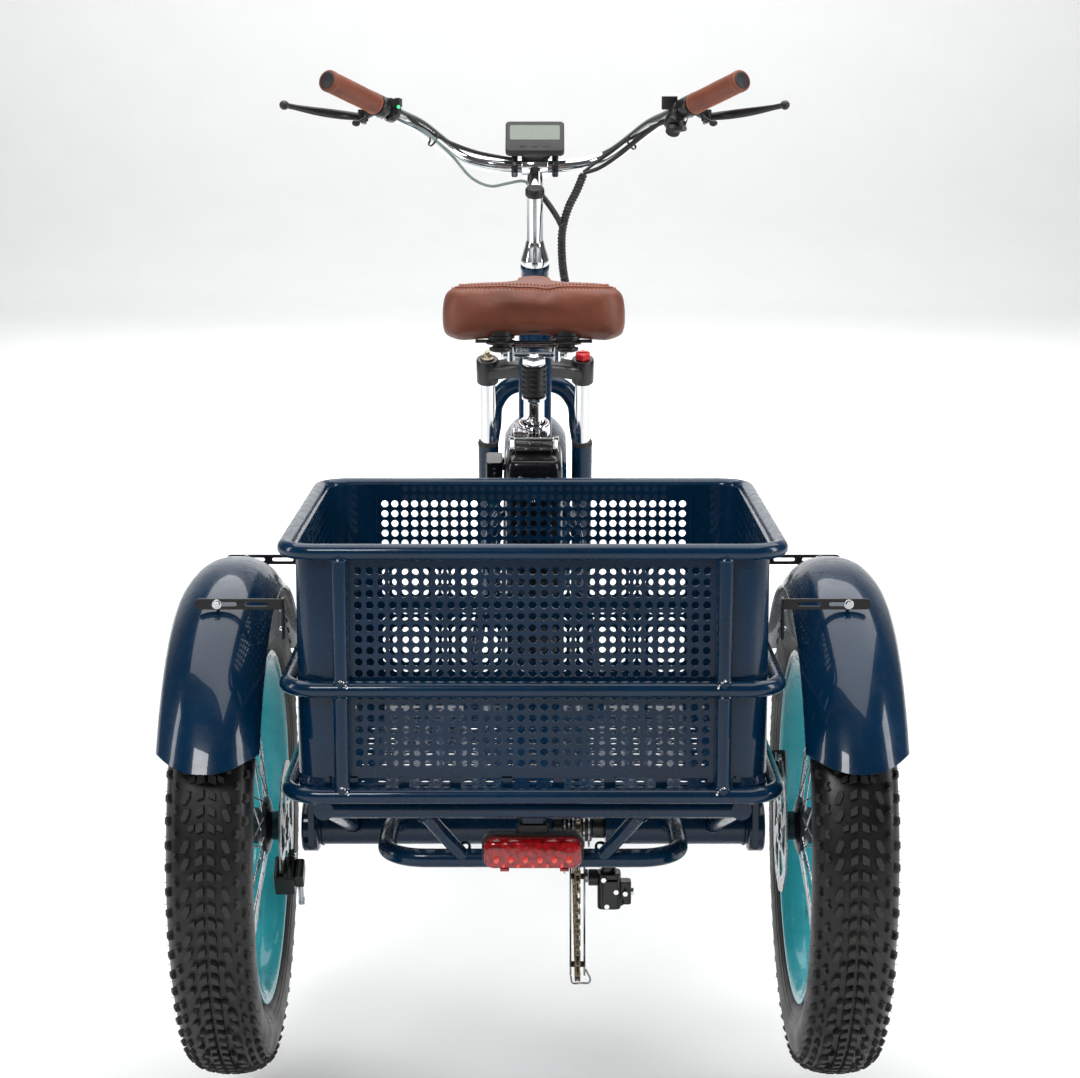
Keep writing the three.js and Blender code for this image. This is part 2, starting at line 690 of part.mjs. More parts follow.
// ---- stem and handlebar ----
const upright = (profile, sides) =>
  new THREE.LatheGeometry(profile.map(([r, z]) => new THREE.Vector2(r, z)), sides).rotateX(Math.PI / 2);
const CLAMP_AT = { y: 68, h: 806 };
add(
  "stem",
  cut(
    join(
      upright(
        [
          [0, HEAD_HIGH + 2 * GAP], [22, HEAD_HIGH + 2 * GAP], [22, 678], [14, 706], [12.6, 708],
          [12.6, 782], [15, 786], [15, 797], [0, 799],
        ],
        14,
      ),
      rod(V(0, 0, 776), V(0, CLAMP_AT.y, CLAMP_AT.h), 12.5, 10),
      spindle(-21, 21, CLAMP_AT.y, CLAMP_AT.h, 19, 14),
    ),
    spindle(-30, 30, CLAMP_AT.y, CLAMP_AT.h, BAR_R + 1, 14),
  ),
  CHROME,
  steer,
);

const bar = inWorld(0, CLAMP_AT.y, CLAMP_AT.h);
const GRIP_IN = V(240, 930, 1144);
const GRIP_OUT = V(305, 835, 1178);
const gripWay = GRIP_OUT.clone().sub(GRIP_IN).normalize();
const alongGrip = (mm) => GRIP_IN.clone().addScaledVector(gripWay, mm);
const mirrored = (p) => p.clone().setX(-p.x);
const halfBar = [
  V(50, bar.y, bar.z),
  V(110, bar.y - 2, bar.z + 12),
  ...[-112, -60, -GAP].map(alongGrip),
];
add(
  "handlebar",
  pipe([...halfBar.map(mirrored).reverse(), bar, ...halfBar], BAR_R, 32, 8),
  CHROME,
);

// Everything on the bar's ends is made for the right hand and mirrored for the left.
const FORWARD_OUT = V(0.825, 0.565, 0);
const LEVER_PIVOT = V(263, 963, 1125);
const LEVER_TIP = V(371, 860, 1142);
const leverAxis = gripWay.clone().cross(FORWARD_OUT).normalize();
const mirrorX = new THREE.Matrix4().makeScale(-1, 1, 1);
function handed(side, geometry) {
  if (side > 0) return geometry;
  const flipped = (geometry.index ? geometry.toNonIndexed() : geometry.clone()).applyMatrix4(mirrorX);
  const p = flipped.attributes.position;
  for (let i = 0; i < p.count; i += 3) {
    const [a, b] = [V(0, 0, 0).fromBufferAttribute(p, i + 1), V(0, 0, 0).fromBufferAttribute(p, i + 2)];
    p.setXYZ(i + 1, b.x, b.y, b.z);
    p.setXYZ(i + 2, a.x, a.y, a.z);
  }
  flipped.computeVertexNormals();
  return flipped;
}
const barBore = rod(alongGrip(-100), alongGrip(4), BAR_R + 0.8, 10);
const leverRoom = rod(
  LEVER_PIVOT.clone().addScaledVector(leverAxis, -40),
  LEVER_PIVOT.clone().addScaledVector(leverAxis, 40), 9.5, 12,
);
const perch = cut(
  join(rod(alongGrip(-20), alongGrip(-2), 16.5, 12), rod(alongGrip(-12), LEVER_PIVOT, 7, 8)),
  barBore,
  leverRoom,
);
const lever = join(
  rod(
    LEVER_PIVOT.clone().addScaledVector(leverAxis, -7),
    LEVER_PIVOT.clone().addScaledVector(leverAxis, 7),
    8,
    10,
  ),
  pipe([LEVER_PIVOT, V(292, 948, 1128), V(332, 902, 1134), LEVER_TIP], 5, 10, 8),
  new THREE.SphereGeometry(7.5, 10, 6).translate(LEVER_TIP.x, LEVER_TIP.y, LEVER_TIP.z),
);
const controlBlock = cut(
  join(rod(alongGrip(-44), alongGrip(-28), 16.5, 12), block(26, 30, 26, 214, 952, 1140)),
  barBore,
);
for (const side of [-1, 1]) {
  const name = side < 0 ? "left" : "right";
  add(name + "_grip", handed(side, rod(GRIP_IN, GRIP_OUT, 16.5, 12)), LEATHER);
  add(name + "_brake_lever", handed(side, lever), BLACK);
}
add("right_brake_perch", perch, BLACK);
add("left_brake_perch_and_keypad", handed(-1, join(perch, controlBlock)), BLACK);
const shifterBody = cut(
  join(rod(alongGrip(-44), alongGrip(-28), 16.5, 12), rod(V(212, 955, 1110), V(218, 968, 1128), 17, 12)),
  barBore,
);
add("shifter_body", shifterBody, BLACK);
const shifterHub = rod(V(209, 948, 1100.5), V(212, 954.4, 1109.4), 11, 10);
add("thumb_shifter", join(shifterHub, rod(V(210, 951, 1105), V(226, 922, 1108), 4, 8)), BLACK);

const tilt = deg(50);
const screen = plate(roundedShape(92, 60, 8), 0, 14, 3)
  .translate(0, 0, -7).rotateX(tilt).translate(0, bar.y - 16, bar.z + 42);
const displayLegs = [-32, 32].flatMap((x) => [
  spindle(x - 5, x + 5, bar.y, bar.z, 17, 12),
  block(10, 12, 28, x, bar.y - 6, bar.z + 24),
]);
add("display", cut(join(screen, displayLegs), spindle(-60, 60, bar.y, bar.z, BAR_R + 1.4, 12)), BLACK);

// The wrapped bundle of control cables, from under the bar down beside the head tube.
const bundle = [
  V(76, 1058, 1036),
  V(66, 1048, 1012),
  V(52, 1038, 984),
  V(43, 1032, 950),
  V(42, 1032, 920),
  V(44, 1040, 890),
  V(48, 1050, 866),
];
add("cable_bundle", pipe(bundle, 6.5, 20, 8), BLACK);

group.position.y = -WHEELBASE / 2;
export default whole;
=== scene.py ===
import math

import bmesh
import bpy
from bpy.props import BoolProperty, FloatProperty, FloatVectorProperty, IntProperty, PointerProperty
from bpy.types import Operator, Panel, PropertyGroup
from mathutils import Matrix, Vector
from mathutils.bvhtree import BVHTree
from mathutils.geometry import tessellate_polygon
from mathutils.kdtree import KDTree


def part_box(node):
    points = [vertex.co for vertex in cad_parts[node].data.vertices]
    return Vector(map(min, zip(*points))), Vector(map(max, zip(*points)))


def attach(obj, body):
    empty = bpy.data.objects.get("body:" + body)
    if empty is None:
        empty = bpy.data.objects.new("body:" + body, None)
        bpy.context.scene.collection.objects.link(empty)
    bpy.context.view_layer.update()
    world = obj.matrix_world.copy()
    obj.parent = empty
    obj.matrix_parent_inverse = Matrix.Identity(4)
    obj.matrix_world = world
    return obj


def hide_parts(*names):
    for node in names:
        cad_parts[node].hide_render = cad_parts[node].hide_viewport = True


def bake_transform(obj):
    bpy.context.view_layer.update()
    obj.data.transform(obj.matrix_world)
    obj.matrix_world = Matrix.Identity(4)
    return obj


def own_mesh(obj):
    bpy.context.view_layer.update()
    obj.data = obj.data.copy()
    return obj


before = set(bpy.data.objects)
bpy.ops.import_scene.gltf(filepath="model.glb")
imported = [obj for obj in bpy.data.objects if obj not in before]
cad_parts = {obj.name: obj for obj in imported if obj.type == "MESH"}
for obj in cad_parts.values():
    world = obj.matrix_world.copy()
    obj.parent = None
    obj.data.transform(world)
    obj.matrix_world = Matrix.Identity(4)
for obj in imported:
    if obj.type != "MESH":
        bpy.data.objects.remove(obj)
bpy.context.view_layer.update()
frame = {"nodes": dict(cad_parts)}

bl_info = {
    "name": "Cruiser tricycle",
    "version": (1, 0, 0),
    "blender": (4, 5, 0),
    "location": "View3D > Sidebar > Tricycle",
    "description": "Builds a fat-tyre cargo tricycle piece by piece round its packed frame",
    "category": "Object",
}

# ---------------------------------------------------------------- places
# Working sizes are in millimetres, counted from the ground under the middle of the rear axle line.
MM = 0.001


def centre_of(node):
    low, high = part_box(node)
    return (low + high) / 2


REAR = centre_of("left_tyre")
FRONT = centre_of("front_tyre")
HALF_TRACK = -REAR.x / MM
WHEELBASE = (FRONT.y - REAR.y) / MM
TYRE_R = REAR.z / MM
HEAD_LEAN = math.radians(21)
SEAT_LEAN = math.radians(18)
FORK_OFFSET = 48
CRANK = Vector((0, 553, 300))
HEAD_LOW, HEAD_HIGH = 506, 668  # ends of the head tube, along the steering axis
SEAT_TUBE_TOP = 427  # along the seat tube, from the cranks
HEAD_FOOT = Vector((0, WHEELBASE - FORK_OFFSET * math.cos(HEAD_LEAN),
                    TYRE_R - FORK_OFFSET * math.sin(HEAD_LEAN)))
UP = Vector((0, 0, 1))
ACROSS = Vector((1, 0, 0))
SIDES = (-1, 1)
HERE = Matrix.Identity(4)
shift = Matrix.Translation


def rotation(degrees, axis):
    return Matrix.Rotation(math.radians(degrees), 4, axis)


def side_name(side):
    return "left" if side < 0 else "right"


def metres(point):
    """A working place in the row frame."""
    return Vector((point[0] * MM, REAR.y + point[1] * MM, point[2] * MM))


def on_head(x, y, height):
    """A place given along the steering axis, as a working place."""
    c, s = math.cos(HEAD_LEAN), math.sin(HEAD_LEAN)
    return HEAD_FOOT + Vector((x, y * c - height * s, y * s + height * c))


def on_seat(x, y, height):
    """A place given along the seat tube, as a working place."""
    c, s = math.cos(SEAT_LEAN), math.sin(SEAT_LEAN)
    return CRANK + Vector((x, y * c - height * s, y * s + height * c))


HEAD_FRAME = shift(HEAD_FOOT) @ Matrix.Rotation(HEAD_LEAN, 4, "X")
SEAT_FRAME = shift(CRANK) @ Matrix.Rotation(SEAT_LEAN, 4, "X")


# ---------------------------------------------------------------- curves
def arc(cx, cy, r, start, end, steps):
    """Points on a circle, in degrees from start to end."""
    angles = [math.radians(start + (end - start) * i / steps) for i in range(steps + 1)]
    return [(cx + r * math.cos(a), cy + r * math.sin(a)) for a in angles]


def rounded(width, height, r, steps=6, cx=0.0, cy=0.0):
    """The outline of a rectangle with round corners."""
    a, b = width / 2 - r, height / 2 - r
    corners = ((a, b, 0), (-a, b, 90), (-a, -b, 180), (a, -b, 270))
    return [p for x, y, start in corners for p in arc(cx + x, cy + y, r, start, start + 90, steps)]


def smooth_path(points, steps=8):
    """A smooth centripetal curve through points."""
    pts = [Vector(p) for p in points]
    if len(pts) < 3:
        return pts
    pts = [2 * pts[0] - pts[1]] + pts + [2 * pts[-1] - pts[-2]]
    out = []
    for p0, p1, p2, p3 in zip(pts, pts[1:], pts[2:], pts[3:]):
        t1 = max((p1 - p0).length, 1e-6) ** 0.5
        t2 = t1 + max((p2 - p1).length, 1e-6) ** 0.5
        t3 = t2 + max((p3 - p2).length, 1e-6) ** 0.5
        for i in range(steps):
            t = t1 + (t2 - t1) * i / steps
            a1 = p0.lerp(p1, t / t1)
            a2 = p1.lerp(p2, (t - t1) / (t2 - t1))
            a3 = p2.lerp(p3, (t - t2) / (t3 - t2))
            b1 = a1.lerp(a2, t / t2)
            b2 = a2.lerp(a3, (t - t1) / (t3 - t1))
            out.append(b1.lerp(b2, (t - t1) / (t2 - t1)))
    return out + [pts[-2]]


def frames_along(path, closed=False):
    """A place, a side and a lift at each point of a path, turning as little as it can."""
    count = len(path)
    tangents = []
    for i in range(count):
        before = path[i - 1] if (i or closed) else path[0]
        after = path[(i + 1) % count] if (i < count - 1 or closed) else path[-1]
        tangents.append((after - before).normalized())
    side = tangents[0].cross(UP if abs(tangents[0].z) < 0.9 else ACROSS).normalized()
    frames = []
    for place, way in zip(path, tangents):
        side = (side - way * side.dot(way)).normalized()
        frames.append((place, side, way.cross(side)))
    return frames


# ---------------------------------------------------------------- shapes
class Shells:
    """Gathers closed shells in working millimetres, to become one mesh."""

    def __init__(self, matrix=None):
        self.verts = []
        self.faces = []
        self.matrix = matrix or HERE

    def add(self, verts, faces, matrix=None):
        base = len(self.verts)
        place = self.matrix @ (matrix or HERE)
        self.verts += [place @ Vector(v) for v in verts]
        self.faces += [tuple(base + i for i in f) for f in faces]
        return self

    def loft(self, rings, closed=False, caps=True):
        """Skins rings of equal length, one after the other."""
        n = len(rings[0])
        verts = [v for ring in rings for v in ring]
        faces = []
        count = len(rings)
        for i in range(count if closed else count - 1):
            j = (i + 1) % count
            for k in range(n):
                m = (k + 1) % n
                faces.append((i * n + k, i * n + m, j * n + m, j * n + k))
        if caps and not closed:
            faces.append(tuple(range(n))[::-1])
            faces.append(tuple((count - 1) * n + k for k in range(n)))
        return self.add(verts, faces)

    def tube(self, points, radius, sides=20, steps=8, smooth=True, closed=False, end=None):
        """A round tube along points. end is its radius at the far end."""
        path = smooth_path(points, steps) if smooth else [Vector(p) for p in points]
        frames = frames_along(path, closed)
        last = len(frames) - 1
        rings = []
        for i, (place, side, lift) in enumerate(frames):
            r = radius + ((end - radius) * i / last if end is not None else 0)
            turn = [2 * math.pi * k / sides for k in range(sides)]
            rings.append([place + side * (r * math.cos(a)) + lift * (r * math.sin(a)) for a in turn])
        return self.loft(rings, closed)

    def rod(self, start, finish, radius, sides=20, end=None):
        return self.tube([start, finish], radius, sides, smooth=False, end=end)

    def turned(self, profile, matrix, sides=48, closed=False):
        """A profile of (radius, along) turned about the X axis of matrix. Radius 0 makes a pole."""
        rings = []
        for r, x in profile:
            turn = [2 * math.pi * k / sides for k in range(sides)]
            rings.append([Vector((x, r * math.cos(a), r * math.sin(a))) for a in turn])
        old, self.matrix = self.matrix, self.matrix @ matrix
        self.loft(rings, closed)
        self.matrix = old
        return self

    def prism(self, outline, low, high, matrix=None):
        """An outline in X and Y, from low to high in Z."""
        n = len(outline)
        verts = [(x, y, z) for z in (low, high) for x, y in outline]
        faces = [tuple(range(n))[::-1], tuple(range(n, 2 * n))]
        faces += [(k, (k + 1) % n, n + (k + 1) % n, n + k) for k in range(n)]
        return self.add(verts, faces, matrix)

    def block(self, size, centre, matrix=None, r=1.5):
        """A box with its upright edges rounded."""
        w, d, h = size
        r = min(r, w / 2.01, d / 2.01)
        spot = (matrix or HERE) @ shift(centre)
        return self.prism(rounded(w, d, r, 3), -h / 2, h / 2, spot)

    def ball(self, centre, r, rings=8, sides=12, stretch=1.0):
        profile = [(max(r * math.sin(a), 0.02), -r * math.cos(a) * stretch)
                   for a in [math.pi * i / rings for i in range(rings + 1)]]
        return self.turned(profile, shift(centre), sides)

    def bead(self, centre, axis, r, thick=1.6, sides=28):
        """A weld bead: a thin ring round an axis."""
        turn = Vector(axis).to_track_quat("X", "Z").to_matrix().to_4x4()
        profile = [(r + thick * math.cos(a), thick * 1.4 * math.sin(a))
                   for a in [2 * math.pi * i / 6 for i in range(6)]]
        return self.turned(profile, shift(centre) @ turn, sides, closed=True)


def axis_frame(start, finish):
    """A matrix whose X axis runs from start to finish."""
    way = Vector(finish) - Vector(start)
    return shift(start) @ way.to_track_quat("X", "Z").to_matrix().to_4x4()


def piece(name, shells, look, body, stands_for=(), bevel=0.0, angle=35, segments=2):
    """Makes one object from shells, with its finish, body and the nodes that it stands for."""
    mesh = bpy.data.meshes.new(name)
    mesh.from_pydata([metres(v) for v in shells.verts], [], shells.faces)
    mesh.validate()
    work = bmesh.new()
    work.from_mesh(mesh)
    bmesh.ops.remove_doubles(work, verts=work.verts, dist=0.00001)
    bmesh.ops.recalc_face_normals(work, faces=work.faces)
    work.to_mesh(mesh)
    work.free()
    for polygon in mesh.polygons:
        polygon.use_smooth = True
    obj = bpy.data.objects.new(name, mesh)
    bpy.context.scene.collection.objects.link(obj)
    if bevel:
        edge = obj.modifiers.new("Edges", "BEVEL")
        edge.width = bevel * MM
        edge.segments = segments
        edge.limit_method = "ANGLE"
        edge.angle_limit = math.radians(angle)
        edge.harden_normals = True
    mesh.set_sharp_from_angle(angle=math.radians(angle))
    mesh.materials.append(finish(look))
    if stands_for:
        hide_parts(*stands_for)
    if body:
        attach(obj, body)
    return obj


# ---------------------------------------------------------------- finishes
def new_finish(name, color, roughness, metallic=0.0, **sockets):
    """A material with its shader's own sockets set, and the nodes and links to add detail."""
    material = bpy.data.materials.new(name)
    material.use_nodes = True
    tree = material.node_tree
    shader = tree.nodes["Principled BSDF"]
    shader.inputs["Base Color"].default_value = (*color, 1)
    shader.inputs["Roughness"].default_value = roughness
    shader.inputs["Metallic"].default_value = metallic
    for socket, value in sockets.items():
        shader.inputs[socket.replace("_", " ")].default_value = value
    return material, tree, shader


def texture(tree, kind, scale, **sockets):
    """A procedural texture that reads the object's own coordinates, in metres."""
    node = tree.nodes.new(kind)
    place = tree.nodes.get("Place") or tree.nodes.new("ShaderNodeTexCoord")
    place.name = "Place"
    tree.links.new(place.outputs["Object"], node.inputs["Vector"])
    node.inputs["Scale"].default_value = scale
    for socket, value in sockets.items():
        node.inputs[socket.replace("_", " ")].default_value = value
    return node


def ramp(tree, source, stops, target):
    """Colours or greys along a 0 to 1 value, sent to a socket."""
    node = tree.nodes.new("ShaderNodeValToRGB")
    elements = node.color_ramp.elements
    while len(elements) < len(stops):
        elements.new(0.5)
    for element, (position, color) in zip(elements, stops):
        element.position = position
        element.color = (*color, 1) if isinstance(color, tuple) else (color, color, color, 1)
    tree.links.new(source, node.inputs["Fac"])
    tree.links.new(node.outputs["Color"], target)
    return node


def bump(tree, shader, height, distance, strength=1.0, socket="Normal"):
    """Surface relief from a height value; distance is in metres."""
    node = tree.nodes.new("ShaderNodeBump")
    node.inputs["Distance"].default_value = distance
    node.inputs["Strength"].default_value = strength
    tree.links.new(height, node.inputs["Height"])
    earlier = shader.inputs[socket].links
    if earlier:
        tree.links.new(earlier[0].from_socket, node.inputs["Normal"])
    tree.links.new(node.outputs["Normal"], shader.inputs[socket])
    return node


def gloss_paint(name, color, spread=0.16, roughness=0.26):
    """Sprayed enamel: a faint change of tone, a clear coat and the slight ripple of a sprayed surface."""
    material, tree, shader = new_finish(
        name, color, roughness, Coat_Weight=0.5, Coat_Roughness=0.02, Specular_IOR_Level=0.15)
    tone = texture(tree, "ShaderNodeTexNoise", 9, Detail=3.0)
    darker = tuple(c * (1 - spread) for c in color)
    lighter = tuple(c * (1 + spread) for c in color)
    ramp(tree, tone.outputs["Fac"], [(0.35, darker), (0.65, lighter)], shader.inputs["Base Color"])
    dust = texture(tree, "ShaderNodeTexNoise", 55, Detail=5.0)
    ramp(tree, dust.outputs["Fac"], [(0.4, roughness * 0.85), (0.75, roughness * 1.35)],
         shader.inputs["Roughness"])
    ripple = texture(tree, "ShaderNodeTexNoise", 420, Detail=1.0)
    bump(tree, shader, ripple.outputs["Fac"], 0.00006, 0.35)
    return material


def chrome(name="Chrome", color=(0.86, 0.87, 0.88), roughness=0.07):
    """Bright plating with faint polishing haze."""
    material, tree, shader = new_finish(name, color, roughness, 1.0)
    haze = texture(tree, "ShaderNodeTexNoise", 60, Detail=4.0)
    ramp(tree, haze.outputs["Fac"], [(0.35, roughness * 0.6), (0.8, roughness * 2.4)],
         shader.inputs["Roughness"])
    ramp(tree, haze.outputs["Fac"], [(0.3, tuple(c * 0.95 for c in color)), (0.7, color)],
         shader.inputs["Base Color"])
    return material


def brushed(name, color, roughness=0.3, stretch=(1, 1, 14)):
    """Machined metal with fine marks drawn out along one way."""
    material, tree, shader = new_finish(name, color, roughness, 1.0)
    place = tree.nodes.new("ShaderNodeTexCoord")
    place.name = "Place"
    scaled = tree.nodes.new("ShaderNodeMapping")
    scaled.inputs["Scale"].default_value = stretch
    marks = texture(tree, "ShaderNodeTexNoise", 160, Detail=5.0)
    tree.links.new(place.outputs["Object"], scaled.inputs["Vector"])
    tree.links.new(scaled.outputs["Vector"], marks.inputs["Vector"])
    ramp(tree, marks.outputs["Fac"], [(0.3, roughness * 0.7), (0.7, roughness * 1.5)],
         shader.inputs["Roughness"])
    ramp(tree, marks.outputs["Fac"], [(0.25, tuple(c * 0.72 for c in color)), (0.7, color)],
         shader.inputs["Base Color"])
    bump(tree, shader, marks.outputs["Fac"], 0.00008, 0.4)
    return material


def moulded_plastic(name, color, roughness=0.42, grain=900, depth=0.00009, coat=0.0):
    """Injection-moulded plastic or satin powder coat, with a fine spark-eroded texture."""
    material, tree, shader = new_finish(name, color, roughness, Coat_Weight=coat, Coat_Roughness=0.2)
    fine = texture(tree, "ShaderNodeTexVoronoi", grain)
    bump(tree, shader, fine.outputs["Distance"], depth, 0.5)
    wear = texture(tree, "ShaderNodeTexNoise", 40, Detail=6.0)
    ramp(tree, wear.outputs["Fac"], [(0.35, roughness * 0.8), (0.7, roughness * 1.25)],
         shader.inputs["Roughness"])
    ramp(tree, wear.outputs["Fac"],
         [(0.3, tuple(c * 0.8 for c in color)), (0.75, tuple(c * 1.3 for c in color))],
         shader.inputs["Base Color"])
    return material


def tyre_rubber(name="Tyre rubber", color=(0.005, 0.005, 0.006), rough=0.4):
    """Black rubber, greyer where it has met the road, with mould marks."""
    material, tree, shader = new_finish(name, color, rough, Specular_IOR_Level=0.42)
    patches = texture(tree, "ShaderNodeTexNoise", 26, Detail=8.0)
    ramp(tree, patches.outputs["Fac"],
         [(0.32, tuple(c * 0.7 for c in color)), (0.72, tuple(c * 1.9 for c in color))],
         shader.inputs["Base Color"])
    ramp(tree, patches.outputs["Fac"], [(0.3, rough * 0.8), (0.7, rough * 1.3)], shader.inputs["Roughness"])
    skin = texture(tree, "ShaderNodeTexNoise", 700, Detail=4.0)
    bump(tree, shader, skin.outputs["Fac"], 0.00025, 0.6)
    return material


def leather(name, color, edge):
    """Pebbled hide: small cells, wider colour clouds and creases, a soft shine."""
    material, tree, shader = new_finish(
        name, color, 0.46, Sheen_Weight=0.04, Sheen_Roughness=0.4, Specular_IOR_Level=0.5)
    clouds = texture(tree, "ShaderNodeTexNoise", 16, Detail=7.0, Distortion=0.4)
    ramp(tree, clouds.outputs["Fac"],
         [(0.28, edge), (0.5, color), (0.78, tuple(min(c * 1.28, 1) for c in color))],
         shader.inputs["Base Color"])
    cells = texture(tree, "ShaderNodeTexVoronoi", 620, Randomness=1.0)
    cells.feature = "SMOOTH_F1"
    bump(tree, shader, cells.outputs["Distance"], 0.00035, 0.55)
    creases = texture(tree, "ShaderNodeTexNoise", 130, Detail=6.0, Distortion=1.2)
    bump(tree, shader, creases.outputs["Fac"], 0.0006, 0.35)
    ramp(tree, cells.outputs["Distance"], [(0.1, 0.4), (0.75, 0.58)], shader.inputs["Roughness"])
    return material


def thread(name="Orange thread", color=(0.62, 0.16, 0.05)):
    """Waxed twisted thread."""
    material, tree, shader = new_finish(name, color, 0.55, Sheen_Weight=0.3)
    twist = texture(tree, "ShaderNodeTexWave", 700, Distortion=2.0)
    ramp(tree, twist.outputs["Fac"], [(0.2, tuple(c * 0.6 for c in color)), (0.8, color)],
         shader.inputs["Base Color"])
    bump(tree, shader, twist.outputs["Fac"], 0.0002, 0.6)
    return material


def lens(name, color):
    """Tinted clear plastic with a ribbed inner face."""
    material, tree, shader = new_finish(
        name, color, 0.09, Coat_Weight=0.8, Coat_Roughness=0.03, Transmission_Weight=0.35, IOR=1.45)
    ribs = texture(tree, "ShaderNodeTexVoronoi", 170)
    ramp(tree, ribs.outputs["Distance"],
         [(0.1, tuple(min(1, c * 1.5) for c in color)), (0.55, color),
          (0.9, tuple(c * 0.35 for c in color))],
         shader.inputs["Base Color"])
    bump(tree, shader, ribs.outputs["Distance"], 0.0008, 0.5)
    return material


def screen_glass(name, color, glow=0.0):
    """A flat display panel with fine rows."""
    material, tree, shader = new_finish(name, color, 0.18, Coat_Weight=1.0, Coat_Roughness=0.04)
    rows = texture(tree, "ShaderNodeTexNoise", 500, Detail=2.0)
    ramp(tree, rows.outputs["Fac"],
         [(0.3, tuple(c * 0.9 for c in color)), (0.7, tuple(c * 1.08 for c in color))],
         shader.inputs["Base Color"])
    shader.inputs["Emission Color"].default_value = (*color, 1)
    shader.inputs["Emission Strength"].default_value = glow
    return material


FINISHES = {}
# The slot that each finish belongs to.
SLOTS = {
    **dict.fromkeys(("tyre", "tread",), "tyre_rubber"),
    **dict.fromkeys(("aqua",), "rim_paint"),
    **dict.fromkeys(("black", "rubber", "plastic", "gloss_black", "green", "screen",), "black_satin"),
    **dict.fromkeys(("alloy", "spoke", "disc", "dark_chrome",), "disc_steel"),
    **dict.fromkeys(("chrome",), "chrome"),
    **dict.fromkeys(("navy",), "navy_paint"),
    **dict.fromkeys(("red_lens", "led", "amber", "red",), "red_plastic"),
    **dict.fromkeys(("brass", "gold",), "chain_brass"),
    **dict.fromkeys(("thread", "leather",), "leather"),
    **dict.fromkeys(("cable_gray",), "boot_rubber"),
}


def finish(name):
    """The named finish, made on first use from the panel's colours."""
    if name not in FINISHES:
        colors = bpy.context.scene.trike_colors
        makers = {
            "navy": lambda: gloss_paint("Navy enamel", tuple(colors.frame)),
            "aqua": lambda: gloss_paint("Aqua rim enamel", tuple(colors.rims), 0.02, 0.3),
            "chrome": chrome,
            "dark_chrome": lambda: chrome("Dark steel plate", (0.32, 0.32, 0.33), 0.2),
            "alloy": lambda: brushed("Brushed alloy", (0.62, 0.63, 0.64), 0.32),
            "disc": lambda: brushed("Ground disc steel", (0.5, 0.5, 0.52), 0.26, (1, 8, 8)),
            "spoke": lambda: brushed("Spoke steel", (0.66, 0.67, 0.69), 0.22, (4, 1, 1)),
            "brass": lambda: brushed("Chain plate", (0.34, 0.25, 0.12), 0.38, (1, 3, 1)),
            "black": lambda: moulded_plastic("Black satin", (0.007, 0.007, 0.008), 0.33, 700, 0.00005,
                                             0.15),
            "plastic": lambda: moulded_plastic("Black moulding", (0.010, 0.010, 0.011)),
            "rubber": lambda: moulded_plastic("Boot rubber", (0.008, 0.008, 0.008), 0.5, 500, 0.0001),
            "tyre": tyre_rubber,
            # The tread blocks get a lighter rubber than the casing: a painted highlight for the light that
            # falls on the knob tops.
            "tread": lambda: tyre_rubber("Tread rubber with painted highlight", (0.02, 0.02, 0.018), 0.6),
            "leather": lambda: leather("Brown hide", tuple(colors.leather), (0.11, 0.024, 0.011)),
            "thread": thread,
            "red_lens": lambda: lens("Red lens", (0.5, 0.004, 0.008)),
            "led": lambda: screen_glass("Lamp beads", (0.95, 0.08, 0.06), 0.1),
            "red": lambda: gloss_paint("Red anodised", (0.55, 0.012, 0.02), 0.08, 0.3),
            "screen": lambda: screen_glass("Display panel", (0.13, 0.16, 0.12)),
            "green": lambda: screen_glass("Green pilot lamp", (0.08, 0.75, 0.25), 1.2),
            "gold": lambda: brushed("Grey brass cap", (0.42, 0.36, 0.27), 0.34),
            "amber": lambda: lens("Amber lens", (0.85, 0.24, 0.02)),
            "gloss_black": lambda: gloss_paint("Black gloss moulding", (0.006, 0.006, 0.007), 0.2, 0.3),
            "cable_gray": lambda: moulded_plastic("Grey cable cover", (0.2, 0.26, 0.24), 0.4),
        }
        FINISHES[name] = makers[name]()
    return FINISHES[name]


# ---------------------------------------------------------------- settings
def color_setting(name, description, default):
    return FloatVectorProperty(
        name=name, description=description, default=default, subtype="COLOR", size=3, min=0, max=1)


def length_setting(name, description, default):
    """A length in metres, given in millimetres."""
    return FloatProperty(name=name, description=description, default=default * MM, unit="LENGTH",
                         subtype="DISTANCE")


class TrikeColors(PropertyGroup):
    frame: color_setting("Frame", "Colour of the frame, basket and fenders", (0.0003, 0.019, 0.052))
    rims: color_setting("Rims", "Colour of the three rims", (0.045, 0.47, 0.54))
    leather: color_setting("Leather", "Colour of the saddle and grips", (0.19, 0.05, 0.023))


class TrikeSizes(PropertyGroup):
    hole_pitch: length_setting("Hole pitch", "Distance between holes in the basket sheet", 12.5)
    hole_width: length_setting("Hole width", "Width of each hole in the basket sheet", 8.8)
    spokes: IntProperty(name="Spokes", description="Spokes in each wheel", default=36, min=12, max=48)
    tread_repeats: IntProperty(name="Tread repeats", description="Repeats of the tread pattern", default=34,
                               min=10)
    simulate: BoolProperty(name="Simulate the saddle", description="Inflate the saddle's cover",
                           default=True)


